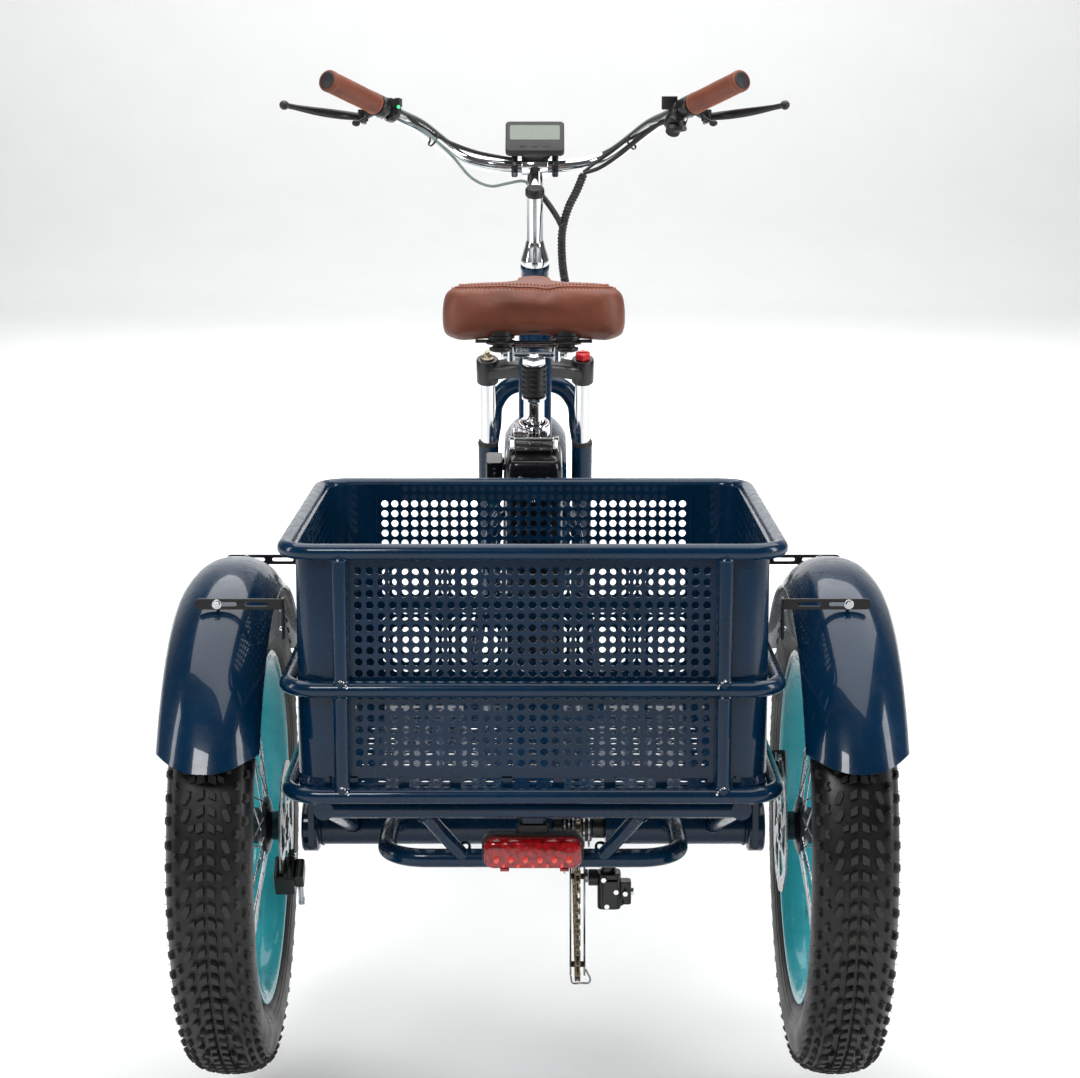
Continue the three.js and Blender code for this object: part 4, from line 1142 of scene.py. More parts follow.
# ---------------------------------------------------------------- brakes
def build_caliper(name, place, inward, body):
    """A cable disc caliper, with the disc's plane at x = 0 of place and its middle 72 mm up."""
    case = Shells(place)
    case.block((5.3, 33, 31), (-inward * 5.4, 0, 71), r=2.5)
    case.block((13.2, 33, 31), (inward * 9.3, 0, 71), r=4)
    case.block((23.6, 30, 5.2), (inward * 4, 0, 86.3), r=3)
    case.turned([(10, 15), (10, 22), (8.6, 24), (0.1, 24)], place_scale(inward) @ shift((0, 0, 72)), 24)
    case.block((7, 58, 9), (inward * 12.5, 2, 60), r=3)
    case.block((11, 22, 26), (inward * 21, 3, 70), r=3)
    piece(name, case, "black", body, [name], bevel=1.1, angle=40)
    arm = Shells(place)
    x = inward * 21.5
    arm.tube([(x, 2, 70), (x, -14, 79), (x, -27, 85), (x, -34, 88)], 3.4, 12, 6)
    arm.rod((x - 3 * inward, -31, 86), (x + 4 * inward, -31, 86), 4.6, 6)
    piece(name + "_arm", arm, "alloy", body, bevel=0.4)
    trim = Shells(place)
    for y in (-22, 25):
        trim.rod((inward * 8, y, 60), (inward * 17.5, y, 60), 4.2, 6)
    trim.rod((inward * 23.6, 0, 72), (inward * 26, 0, 72), 5.2, 6)
    trim.rod((-inward * 7.6, 0, 72), (-inward * 8.4, 0, 72), 8.5, 24)
    piece(name + "_bolts", trim, "chrome", body, bevel=0.4)
    pads = Shells(place)
    for x in (-1.9, 1.9):
        pads.block((1.1, 20, 20), (x, 0, 66), r=0.3)
    piece(name + "_pads", pads, "brass", body)


def place_scale(side):
    """Mirrors across the machine for side -1."""
    return Matrix.Scale(side, 4, ACROSS)


class TRIKE_OT_brakes(Operator):
    """Build the three disc calipers"""

    bl_idname = "trike.brakes"
    bl_label = "Brakes"

    def execute(self, context):
        disc_x = HALF_TRACK - 57.5
        turn = {side: Matrix.Rotation(-math.radians(angle), 4, "X") for side, angle in ((-1, 232), (1, 24))}
        for side in SIDES:
            name = side_name(side) + "_caliper"
            spot = shift((side * disc_x, 0, TYRE_R))
            build_caliper(name, spot @ turn[side], -side, "frame")
        front = HEAD_FRAME @ shift((-57.5, FORK_OFFSET, 0)) @ rotation(72, "X")
        build_caliper("front_caliper", front, -1, "fork_slider")
        return {"FINISHED"}


# ---------------------------------------------------------------- drivetrain
CHAIN_X = 53
PITCH = 12.7
CRANK_ARM = 170
STANDING = Matrix(((0, 0, 1, 0), (1, 0, 0, 0), (0, 1, 0, 0), (0, 0, 0, 1)))
GUIDE, TENSION = (16, 222), (-2, 118)


def gear(shells, teeth, r, x, thick, at, windows=0, bore=8):
    """A toothed plate across X, with its middle at the working place at."""
    outline = []
    for k in range(teeth):
        for step, radius in ((0, r - 3.4), (0.3, r - 3.4), (0.45, r), (0.7, r)):
            a = 2 * math.pi * (k + step) / teeth
            outline.append((radius * math.cos(a), radius * math.sin(a)))
    holes = [circle(bore, 24)]
    for k in range(windows):
        start = 360 * k / windows
        span = 360 / windows - 14
        holes.append(arc(0, 0, r * 0.86, start, start + span, 10)
                     + arc(0, 0, r * 0.52, start + span, start, 8))
    place = shift(at) @ shift((x, 0, 0)) @ STANDING
    holed(shells, outline, holes, -thick / 2, thick / 2, place)


def chain_path():
    """The chain's pitch line as (y, z), anticlockwise seen from the right."""
    path = arc(CRANK.y, CRANK.z, 84, 99, -80, 40)
    path += arc(TENSION[0], TENSION[1], 17, -74, -190, 12)
    path += [(-4, 220)]
    return path + arc(0, TYRE_R, 36, 222, 97, 16)


def links_along(path):
    """Places one pin every pitch along the closed path, stretching the pitch a little so that it closes."""
    corners = [Vector(p) for p in path]
    spans = [(b - a).length for a, b in zip(corners, corners[1:] + corners[:1])]
    count = 2 * round(sum(spans) / PITCH / 2)
    step = sum(spans) / count
    pins, walked, index = [], 0.0, 0
    for k in range(count):
        while walked + spans[index] < k * step:
            walked += spans[index]
            index += 1
        a, b = corners[index], corners[(index + 1) % len(corners)]
        pins.append(a.lerp(b, (k * step - walked) / spans[index]))
    return pins


def build_chain():
    pins = links_along(chain_path())
    plates, rollers = Shells(), Shells()
    for k, pin in enumerate(pins):
        after = pins[(k + 1) % len(pins)]
        way = after - pin
        turn = shift((CHAIN_X, *((pin + after) / 2))) @ Matrix.Rotation(math.atan2(way.y, way.x), 4, "X")
        outline = [(x, y * (0.82 if abs(x) < 3 else 1)) for x, y in rounded(way.length + 7.6, 7.8, 3.8, 3)]
        for side in SIDES:
            x = side * (2.9 if k % 2 else 1.8)
            plates.prism(outline, x - 0.5, x + 0.5, turn @ STANDING)
        spot = Vector((CHAIN_X, pin.x, pin.y))
        rollers.rod(spot - ACROSS * 3.5, spot + ACROSS * 3.5, 1.8, 8)
        rollers.rod(spot - ACROSS * 1.3, spot + ACROSS * 1.3, 3.3, 10)
    piece("chain_plates", plates, "brass", "frame", ["chain"])
    piece("chain_pins", rollers, "dark_chrome", "frame")


def build_cassette():
    at = Vector((0, 0, TYRE_R))
    cogs = Shells()
    for teeth, r, x in ((28, 57, 37), (24, 50, 42), (21, 43.5, 47), (16, 34, 53), (14, 29, 60),
                        (12, 26, 66)):
        gear(cogs, teeth, r, x, 2, at, bore=15)
    piece("cassette_cogs", cogs, "disc", "cogs", ["cassette"])
    core = Shells(shift(at))
    core.turned([(0.1, 19), (15, 19), (16, 20), (16, 34), (19, 36), (19, 69), (15, 70.5), (15, 87),
                 (14, 89), (0.1, 89)],
                HERE, 36)
    piece("cassette_core", core, "black", "cogs", bevel=0.5)


def build_crankset():
    arms = Shells()
    for side in SIDES:
        x = side * 80.5
        place = shift((x, CRANK.y, CRANK.z)) @ rotation(0 if side > 0 else 180, "X") @ STANDING
        widths = [(22, 13.5), (85, 11.5), (150, 12)]
        near = arc(0, 0, 17, 110, 250, 12)
        far = arc(CRANK_ARM, 0, 14, -80, 80, 12)
        lower = [(x1, -w) for x1, w in widths]
        upper = [(x1, w) for x1, w in reversed(widths)]
        arms.prism(near + lower + far + upper, -6.4, 6.4, place)
    arms.rod((-76, CRANK.y, CRANK.z), (76, CRANK.y, CRANK.z), 11, 28)
    piece("crank_arms", arms, "chrome", "cranks", ["crankset"], bevel=1.6, angle=50)
    ring = Shells()
    gear(ring, 42, 80.6, CHAIN_X, 3.6, CRANK, windows=5, bore=12)
    piece("chainring", ring, "alloy", "cranks", bevel=0.3)
    caps = Shells()
    for side in SIDES:
        caps.rod((side * 87, CRANK.y, CRANK.z), (side * 88.4, CRANK.y, CRANK.z), 9, 28)
        caps.rod((side * 34.5, CRANK.y, CRANK.z), (side * 40, CRANK.y, CRANK.z), 20, 36)
    piece("crank_caps", caps, "black", "cranks", bevel=0.6)


def build_pedal(side):
    name = side_name(side) + "_pedal"
    body = name + "_body"
    x0, y0 = side * (88 + 54), CRANK.y + side * CRANK_ARM
    frame_part = Shells(shift((x0, y0, CRANK.z)))
    for y in (-37, 37):
        frame_part.block((88, 8, 21), (0, y, 0), r=3)
    for x in (-39, 39):
        frame_part.block((9, 76, 18), (x, 0, 0), r=3)
    frame_part.rod((-43, 0, 0), (43, 0, 0), 10, 24)
    for x in (-20, 0, 20):
        frame_part.block((4, 70, 14), (x, 0, 0), r=1)
    for k in range(9):
        for y in (-37, 37):
            for z in (-10.6, 10.6):
                frame_part.block((4, 6.5, 1.6), (-36 + 9 * k, y, z * 0.97), r=1)
    frame_part.rod((-side * 53.5, 0, 0), (-side * 40, 0, 0), 7, 20)
    piece(name, frame_part, "plastic", body, [name], bevel=0.8)
    lamps = Shells(shift((x0, y0, CRANK.z)))
    for y in (-40.6, 40.6):
        lamps.block((46, 1.4, 10), (0, y * 0.99, 0), r=0.6)
    piece(name + "_reflectors", lamps, "amber", body, bevel=0.4)


def build_derailleur():
    case = Shells()
    case.block((28, 28, 44), (91, 14, 207), r=7)
    case.block((15, 20, 28), (110, 14, 204), r=4)
    case.block((12, 16, 20), (93, 16, 229), r=4)
    case.rod((66, 12, 222), (78, 12, 222), 10, 24)
    case.rod((86, 14, 222), (98, 8, 257), 8, 20)
    case.block((19, 5, 32), (92, -1.2, 206), r=2)
    case.rod((104, 4, 194), (104, 24, 194), 6, 16)
    piece("derailleur_body", case, "black", "frame", ["derailleur_body"], bevel=1.4)
    bolts = Shells()
    for x, z in ((84, 223), (99, 208), (88, 190), (110, 206)):
        bolts.rod((x, 0.5, z), (x, -3.8, z), 3.4, 6)
    bolts.rod((117, 14, 204), (120.6, 14, 204), 4.4, 12)
    piece("derailleur_bolts", bolts, "chrome", "frame", bevel=0.3)

    spine = Vector((0, TENSION[0] - GUIDE[0], TENSION[1] - GUIDE[1]))
    tilt = math.atan2(spine.z, spine.y)
    length = spine.length
    cage = Shells()
    for x in (44.6, 61.4):
        place = shift((x, *GUIDE)) @ Matrix.Rotation(tilt, 4, "X") @ STANDING
        outline = arc(0, 0, 14, 90, 270, 10) + [(30, -8), (length - 24, -8)] + arc(length, 0, 14, -90, 90,
            10) + [
            (length - 24, 8), (30, 8)]
        windows = [circle(6, 16, 0, 0), rounded(44, 7, 3.4, 4, length / 2, 0), circle(6, 16, length, 0)]
        holed(cage, outline, windows, -1.1, 1.1, place)
    cage.rod((62, 12, 224), (65.6, 12, 224), 8, 20)
    cage.tube([(62.6, TENSION[0] - 12, 116), (68, TENSION[0] - 18, 106), (66, TENSION[0] - 12, 98.5),
               (58, TENSION[0] - 8, 97),
               (47, TENSION[0] - 8, 97), (45, TENSION[0] - 10, 106)], 1.2, 8, 5)
    piece("derailleur_cage", cage, "dark_chrome", "frame", ["derailleur_cage"], bevel=0.4)
    wheels = Shells()
    for y, z in (GUIDE, TENSION):
        gear(wheels, 11, 14.6, CHAIN_X, 2.4, Vector((0, y, z)), bore=3)
        wheels.rod((45, y, z), (61, y, z), 3.6, 12)
    piece("jockey_wheels", wheels, "plastic", "frame")
    hose = Shells()
    hose.tube([(98, 8, 257), (102, 20, 266), (96, 60, 282), (70, 140, 300), (30, 230, 316)], 2.6, 12, 8)
    piece("gear_cable", hose, "plastic", "frame")


class TRIKE_OT_drivetrain(Operator):
    """Build the cranks, pedals, chain, sprockets and derailleur"""

    bl_idname = "trike.drivetrain"
    bl_label = "Drivetrain"

    def execute(self, context):
        build_crankset()
        for side in SIDES:
            build_pedal(side)
        build_cassette()
        build_chain()
        build_derailleur()
        return {"FINISHED"}


# ---------------------------------------------------------------- battery
def build_battery():
    case = Shells(SEAT_FRAME)
    levels = ((128, 0.9), (131, 0.96), (136, 1.0), (400, 1.0), (401, 0.975), (403.5, 0.975), (404.5, 1.0),
              (424, 0.995),
              (433, 0.95), (438, 0.87), (440, 0.76))
    outline = rounded(74, 78, 14, 8)
    case.loft([[Vector((x * s, -75 + y * s, h)) for x, y in outline] for h, s in levels])
    for side in SIDES:
        case.block((1.6, 50, 250), (side * 36.4, -75, 262), r=0.7)
    case.block((46, 1.6, 240), (0, -113.4, 262), r=0.7)
    piece("battery_case", case, "gloss_black", "battery", ["battery_case"], angle=40)
    trim = Shells(SEAT_FRAME)
    for x, h in ((-18, 417), (18, 417)):
        trim.rod((x, -111, h), (x, -114.6, h), 3.2, 14)
    trim.turned([(6.5, 0), (8.6, 0), (8.6, 2.6), (6.5, 2.6)],
                shift((0, -112, 392)) @ rotation(-90, "Z"), 28, closed=True)
    piece("battery_screws", trim, "chrome", "battery", bevel=0.3)
    lamp = Shells(SEAT_FRAME)
    lamp.rod((0, -111, 392), (0, -113, 392), 6.3, 20)
    piece("battery_lock", lamp, "plastic", "battery")

    # The handle's two ears turn on a pin, and a wide bar joins them.
    ears = Shells(SEAT_FRAME)
    for side in SIDES:
        ears.block((6.6, 31, 4.8), (side * 28, -67, 443.3), r=2)
        ears.rod((side * 25, -51, 444.4), (side * 32.8, -51, 444.4), 4, 20)
        ears.rod((side * 25, -81, 444), (side * 32, -81, 444), 3.4, 16)
    ears.rod((-25, -51, 444.4), (25, -51, 444.4), 2.6, 12)
    piece("battery_handle", ears, "chrome", "handle", ["battery_handle"], bevel=0.8)
    grip = Shells(SEAT_FRAME)
    grip.block((49, 8, 5), (0, -83, 443.2), r=3.6)
    piece("battery_handle_bar", grip, "gloss_black", "handle", bevel=1.2)

    box = Shells(SEAT_FRAME)
    box.block((21.6, 33.6, 29.6), (-52, -62, 408), r=4)
    box.block((14, 8, 11), (-46, -44, 408), r=2)
    box.rod((-41, -60, 408), (-36.5, -60, 408), 5, 16)
    piece("switch_box", box, "gloss_black", "frame", ["switch_box"], bevel=1.4)
    marks = Shells(SEAT_FRAME)
    for h in (401, 408, 415):
        marks.rod((-52, -78, h), (-52, -79.4, h), 1.5, 12)
    piece("switch_box_screws", marks, "chrome", "frame")


class TRIKE_OT_battery(Operator):
    """Build the battery, its folding handle and the switch box"""

    bl_idname = "trike.battery"
    bl_label = "Battery"

    def execute(self, context):
        build_battery()
        return {"FINISHED"}


# ---------------------------------------------------------------- seat post
def build_seat_clamp():
    ring = Shells(SEAT_FRAME)
    ring.turned([(15.2, 428), (19.6, 428), (21, 429.4), (21, 444.6), (19.6, 446), (15.2, 446)], UPRIGHT, 48,
                closed=True)
    for x in (-4.6, 4.6):
        ring.block((6.4, 15, 13.6), (x, -24, 437), r=2.4)
    piece("seat_clamp", ring, "chrome", "frame", ["seat_clamp"], bevel=0.6)
    nut = Shells(SEAT_FRAME)
    nut.rod((8, -25, 437), (15.5, -25, 437), 6.6, 20)
    nut.rod((15.2, -25, 437), (17.4, -25, 437), 4.6, 6)
    piece("seat_clamp_nut", nut, "black", "frame", bevel=0.8)
    cam = Shells(SEAT_FRAME)
    cam.rod((-27, -25, 437), (-9, -25, 437), 6, 24)
    cam.tube([(-25.6, -26, 437), (-26.4, -14, 438), (-26, 2, 437), (-24.8, 15, 435)], 4.6, 16, 6, end=3.2)
    piece("seat_clamp_lever", cam, "chrome", "clamp_lever", ["seat_clamp_lever"], bevel=0.6)


UPRIGHT = rotation(-90, "Y")


# Heights along the seat tube: the post, its rubber boot, and the joint under the saddle.
POST_LOW, POST_TOP = 300, 485
BOOT_LOW, BOOT_TOP = 486.3, 530
SEAT_TOP = 546.5


def build_post():
    post = Shells(SEAT_FRAME)
    post.turned([(0.1, POST_LOW), (12.6, POST_LOW), (13.6, POST_LOW + 1), (13.6, 477), (14.4, 479.6),
                 (16, 480.4), (16, POST_TOP - 1), (15, POST_TOP),
                 (0.1, POST_TOP)], UPRIGHT, 44)
    piece("seatpost", post, "chrome", "post", ["seatpost"])

    ribs = []
    count = 6
    step = (BOOT_TOP - BOOT_LOW) / count
    for k in range(count):
        base = BOOT_LOW + k * step
        ribs += [(14.6, base + 0.3), (16.6, base + step * 0.3), (16.9, base + step * 0.5),
                 (16.6, base + step * 0.7),
                 (14.6, base + step - 0.3)]
    boot = Shells(SEAT_FRAME)
    boot.turned([(13.1, BOOT_LOW), *ribs, (13.1, BOOT_TOP)], UPRIGHT, 40, closed=True)
    sleeve = piece("seatpost_boot", boot, "rubber", "post", ["seatpost_boot"], angle=60)
    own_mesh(sleeve)

    head = Shells(SEAT_FRAME)
    head.turned([(11, 521), (11, 530.6), (15, 530.6), (15, 532), (11, 532)], UPRIGHT, 32)
    head.turned([(12.4, 531.2), (17, 533), (17, 540), (13.4, 542.4), (11.6, 542.8), (11.6, 548),
                 (12.4, 531.3)], UPRIGHT, 6)
    head.rod((-40, 0, SEAT_TOP), (40, 0, SEAT_TOP), 8.6, 28)
    for side in SIDES:
        head.block((10, 26, 21), (side * 30, 2, SEAT_TOP + 1), r=5)
        head.rod((side * 40, 0, SEAT_TOP), (side * 43.5, 0, SEAT_TOP), 7.4, 6)
    head.block((48, 24, 5), (0, 2, 553), r=3)
    piece("seatpost_head", head, "chrome", "saddle", ["seatpost_head"], bevel=0.8)


# ---------------------------------------------------------------- saddle
SADDLE_LOW, SADDLE_HIGH, SADDLE_REAR, SADDLE_NOSE = 847, 912, 292, 566
SADDLE_HALF_W, NOSE_HALF_W = 121, 34


def bezier(a, b, c, d, steps):
    out = []
    for i in range(steps):
        t = i / steps
        out.append(a * (1 - t) ** 3 + b * 3 * t * (1 - t) ** 2 + c * 3 * t * t * (1 - t) + d * t ** 3)
    return out


def saddle_outline(inset, steps=16):
    """The saddle's plan, drawn in by inset, anticlockwise from the middle of its back."""
    rear, nose = SADDLE_REAR, SADDLE_NOSE
    w, n = SADDLE_HALF_W - inset, NOSE_HALF_W - inset * 0.6

    def at(x, y):
        return Vector((x, y, 0))

    right = bezier(at(0, rear + inset), at(w * 0.8, rear + inset), at(w, rear + inset + 4),
                   at(w, rear + 62), steps)
    right += bezier(at(w, rear + 62), at(w, rear + 122), at(n + 8, rear + 130), at(n, nose - 56), steps)
    right += bezier(at(n, nose - 56), at(n - 2, nose - inset), at(n * 0.6, nose - inset),
                    at(0, nose - inset), steps)
    right.append(at(0, nose - inset))
    return right + [at(-p.x, p.y) for p in reversed(right[1:-1])]


def saddle_lift(y):
    """How far the saddle's top rises or dips along its length."""
    t = (y - SADDLE_REAR) / (SADDLE_NOSE - SADDLE_REAR)
    return -7 * math.sin(math.pi * min(max(t, 0), 1)) + (-9 * max(0, t - 0.8) / 0.2)


def skirt(x, y):
    """How far the leather's lower edge rises toward the middle of the back."""
    back = max(0.0, 1 - (y - SADDLE_REAR) / 70)
    return 14 * back * max(0.0, 1 - (x / 112) ** 2)


def build_cushion_shape():
    """The saddle's padded body before it swells: a crowned top, full sides and a closed underside."""
    layers = ((12, 842), (4, 842.6), (0.8, 855), (0.6, 878), (2.4, 895), (7.5, 904), (20, 909), (48, 910.4),
              (78, 911))
    shells = Shells()
    rings = []
    for inset, z in layers:
        drawn = saddle_outline(min(inset, 34))
        shrink = 1 if inset <= 34 else 1 - (inset - 34) / 80
        middle = Vector((0, 400, 0))
        ring = []
        for p in drawn:
            q = middle + (p - middle) * shrink
            high = (z - SADDLE_LOW) / (SADDLE_HIGH - SADDLE_LOW)
            lift = saddle_lift(q.y) * high + skirt(q.x, q.y) * (1 - high)
            ring.append(Vector((q.x, q.y, z + lift)))
        rings.append(ring)
    shells.loft(rings)
    return shells


def inflate(obj, limit):
    """Swells a closed mesh like a stuffed cover, moving no point further than limit metres."""
    for other in bpy.context.selected_objects:
        other.select_set(False)
    bpy.context.view_layer.objects.active = obj
    obj.select_set(True)
    net = obj.modifiers.new("Even net", "REMESH")
    net.mode = "VOXEL"
    net.voxel_size = 0.005
    net.use_smooth_shade = True
    bpy.ops.object.modifier_apply(modifier=net.name)
    rest = [v.co.copy() for v in obj.data.vertices]
    if bpy.context.scene.trike_sizes.simulate:
        cover = obj.modifiers.new("Cover", "CLOTH")
        cover.settings.use_pressure = True
        cover.settings.uniform_pressure_force = 4
        cover.settings.effector_weights.gravity = 0
        cover.settings.quality = 5
        for number in range(1, 21):
            bpy.context.scene.frame_set(number)
        bpy.ops.object.modifier_apply(modifier=cover.name)
        bpy.context.scene.frame_set(1)
        for vertex, start in zip(obj.data.vertices, rest):
            step = vertex.co - start
            if step.length > limit:
                vertex.co = start + step * (limit / step.length)
    relax = bmesh.new()
    relax.from_mesh(obj.data)
    for _ in range(3):
        bmesh.ops.smooth_vert(relax, verts=relax.verts, factor=0.5, use_axis_x=True, use_axis_y=True,
                              use_axis_z=True)
    relax.to_mesh(obj.data)
    relax.free()
    soft = obj.modifiers.new("Soft", "SUBSURF")
    soft.levels = soft.render_levels = 1
    bpy.ops.object.modifier_apply(modifier=soft.name)
    for polygon in obj.data.polygons:
        polygon.use_smooth = True


def seam_line(obj, inset, count):
    """Points on the cushion's top, straight above the plan drawn in by inset, with the surface's normal."""
    net = BVHTree.FromPolygons([v.co for v in obj.data.vertices], [p.vertices for p in obj.data.polygons])
    plan = [metres(p) for p in saddle_outline(inset)]
    spans = [(b - a).length for a, b in zip(plan, plan[1:] + plan[:1])]
    found, walked, index = [], 0.0, 0
    for k in range(count):
        along = sum(spans) * k / count
        while walked + spans[index] < along:
            walked += spans[index]
            index += 1
        spot = plan[index].lerp(plan[(index + 1) % len(plan)], (along - walked) / spans[index])
        spot.z = 1.2
        hit, normal, *_ = net.ray_cast(spot, -UP)
        if hit:
            found.append((hit, normal))
    return found


def press_seam(obj, line, width, depth):
    """Presses a shallow groove into the cushion along a line of points."""
    tree = KDTree(len(line))
    for index, (spot, _) in enumerate(line):
        tree.insert(spot, index)
    tree.balance()
    for vertex in obj.data.vertices:
        _, index, away = tree.find(vertex.co)
        if away < width:
            vertex.co -= line[index][1] * depth * (1 - away / width) ** 2


def stitches(name, line, body, radius, share, lift):
    """A row of thread stitches lying on a line of surface points."""
    row = Shells(shift((0, -REAR.y / MM, 0)))
    for (a, normal), (b, _) in zip(line[::2], line[1::2] + line[:1]):
        start, end = a.lerp(b, (1 - share) / 2), b.lerp(a, (1 - share) / 2)
        middle = (start + end) / 2 + normal * lift
        row.tube([start / MM, middle / MM, end / MM], radius, 6, 3)
    return piece(name, row, "thread", body)


def build_saddle():
    cushion = piece("saddle_cushion", build_cushion_shape(), "leather", None, ["saddle_cushion"])
    inflate(cushion, 0.006)
    seam = seam_line(cushion, 19, 420)
    press_seam(cushion, seam, 0.006, 0.0011)
    top = seam_line(cushion, 25, 300)
    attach(cushion, "saddle")
    stitches("saddle_stitching", top, "saddle", 0.8, 0.66, 0.0011)
    outer = seam_line(cushion, 15.5, 300)
    stitches("saddle_edge_stitching", outer, "saddle", 0.75, 0.62, 0.0011)
    piping = Shells(shift((0, -REAR.y / MM, 0)))
    piping.tube([spot / MM for spot, _ in seam], 1.0, 8, 1, smooth=False, closed=True)
    piece("saddle_piping", piping, "leather", "saddle")

    pan = Shells()
    levels = ((17, 851), (21, 848), (26, 845), (34, 843.6))
    rings = []
    for inset, z in levels:
        rings.append([Vector((p.x, p.y, z + skirt(p.x, p.y) * (1 if z > 845 else 0.8)))
                      for p in saddle_outline(inset)])
    pan.loft(rings)
    for side in SIDES:
        rail = [(side * 43, 330, 828), (side * 40, 345, 827), (side * 34, 372, 833), (side * 33, 400, 834),
                (side * 33, 440, 834), (side * 28, 470, 838), (side * 14, 500, 842)]
        pan.tube(rail, 4.4, 14, 6)
    piece("saddle_base", pan, "plastic", "saddle", ["saddle_base"], angle=50)
    springs = Shells()
    for side in SIDES:
        spot = shift((side * 43, SADDLE_REAR + 34, 8)) @ UPRIGHT
        springs.turned([(0.1, 817), (9, 817), (13.5, 818.5), (14.6, 821), (14, 823), (10, 824), (10, 826),
                        (18, 827.4),
                        (19, 829.5), (18, 831.5), (15.4, 832.4), (15.4, 834), (18.4, 835), (18.4, 838),
                        (16.4, 839),
                        (16.4, 846), (0.1, 846)], spot, 36)
    piece("saddle_bumpers", springs, "rubber", "saddle", angle=45)
    strap = Shells()
    path = [(-75, 326, 839), (-60, 326, 839), (-20, 326, 837.4), (20, 326, 837.4), (60, 326, 839),
            (75, 326, 839)]
    section = rounded(11, 4, 1.8, 3)
    rings = [[place + Vector((0, y, z)) for y, z in section] for place in smooth_path(path, 6)]
    strap.loft(rings)
    piece("saddle_strap", strap, "black", "saddle", angle=50)
    plates = Shells()
    plates.block((52, 40, 3), (0, 384, 829), r=6)
    for side in SIDES:
        plates.block((9, 44, 8), (side * 33.6, 384, 830), r=2.5)
        plates.rod((side * 19, 372, 827.6), (side * 19, 372, 822), 4, 6)
    piece("saddle_brackets", plates, "dark_chrome", "saddle", bevel=0.6)


class TRIKE_OT_seat(Operator):
    """Build the seat clamp, the suspension post and the stitched saddle"""

    bl_idname = "trike.seat"
    bl_label = "Seat"

    def execute(self, context):
        build_seat_clamp()
        build_post()
        build_saddle()
        return {"FINISHED"}


# ---------------------------------------------------------------- fork
LEG_X, LEG_Y = 78, 30
CROWN_LOW, CROWN_TOP = 444, 486  # of the bosses round the legs, along the steering axis


def build_fork():
    tubes = Shells(HEAD_FRAME)
    for side in SIDES:
        tubes.rod((side * LEG_X, LEG_Y, 262), (side * LEG_X, LEG_Y, 470), 13, 36)
    piece("stanchions", tubes, "chrome", "steering")
    yoke = Shells(HEAD_FRAME)
    for side in SIDES:
        yoke.turned([(13, CROWN_LOW), (17.4, CROWN_LOW), (18, CROWN_LOW + 1.4), (18, CROWN_TOP - 2),
                     (17, CROWN_TOP), (0.1, CROWN_TOP), (0.1, 452), (13, 452)],
                    shift((side * LEG_X, LEG_Y, 0)) @ UPRIGHT, 40)
    # The bridge is one swept bar whose ends drop to the legs and whose middle rises to the steerer.
    half = [(20, 4, 482), (42, 14, 476.5), (62, 25, 468), (80, 30, 462)]
    path = [(-x, y, z) for x, y, z in half[::-1]] + [(0, 1, 483)] + half
    section = rounded(34, 26, 9, 4)
    rings = [[place + Vector((0, y, z)) for y, z in section] for place in smooth_path(path, 4)]
    yoke.loft(rings)
    yoke.turned([(14, 466), (24, 470), (24, 494), (21, 499), (21, 505.7), (14, 505.7)], UPRIGHT, 40)
    yoke.rod((0, 0, 480), (0, 0, HEAD_HIGH), 14, 28)
    piece("fork_crown", yoke, "black", "steering", ["fork_crown"], bevel=0.8, angle=45)
    cap = Shells(HEAD_FRAME @ shift((-LEG_X, LEG_Y, 0)) @ UPRIGHT)
    cap.turned([(0.1, 485.6), (11.4, 485.6), (11.4, 489), (8, 491), (6, 495), (0.1, 496)], HERE, 24)
    cap.turned([(4, 495), (5, 499), (0.1, 499.4)], HERE, 6)
    piece("fork_leg_cap", cap, "gold", "steering", bevel=0.3)

    knob_part = Shells(HEAD_FRAME @ shift((LEG_X, LEG_Y, 0)) @ UPRIGHT)
    lobes = []
    for scale, h in ((1.0, 486.6), (1.02, 492), (0.94, 495.5), (0.62, 497.4)):
        ring = []
        for k in range(72):
            a = 2 * math.pi * k / 72
            r = scale * (11.8 + 1.1 * math.cos(6 * a))
            ring.append(Vector((h, r * math.cos(a), r * math.sin(a))))
        lobes.append(ring)
    knob_part.loft(lobes)
    knob_part.matrix = HEAD_FRAME @ shift((LEG_X, LEG_Y, 0))
    knob_part.block((16, 4.4, 3.4), (0, 0, 497.6), r=1.4)
    piece("lockout_dial", knob_part, "red", "dial", ["lockout_dial"], bevel=0.5, angle=50)


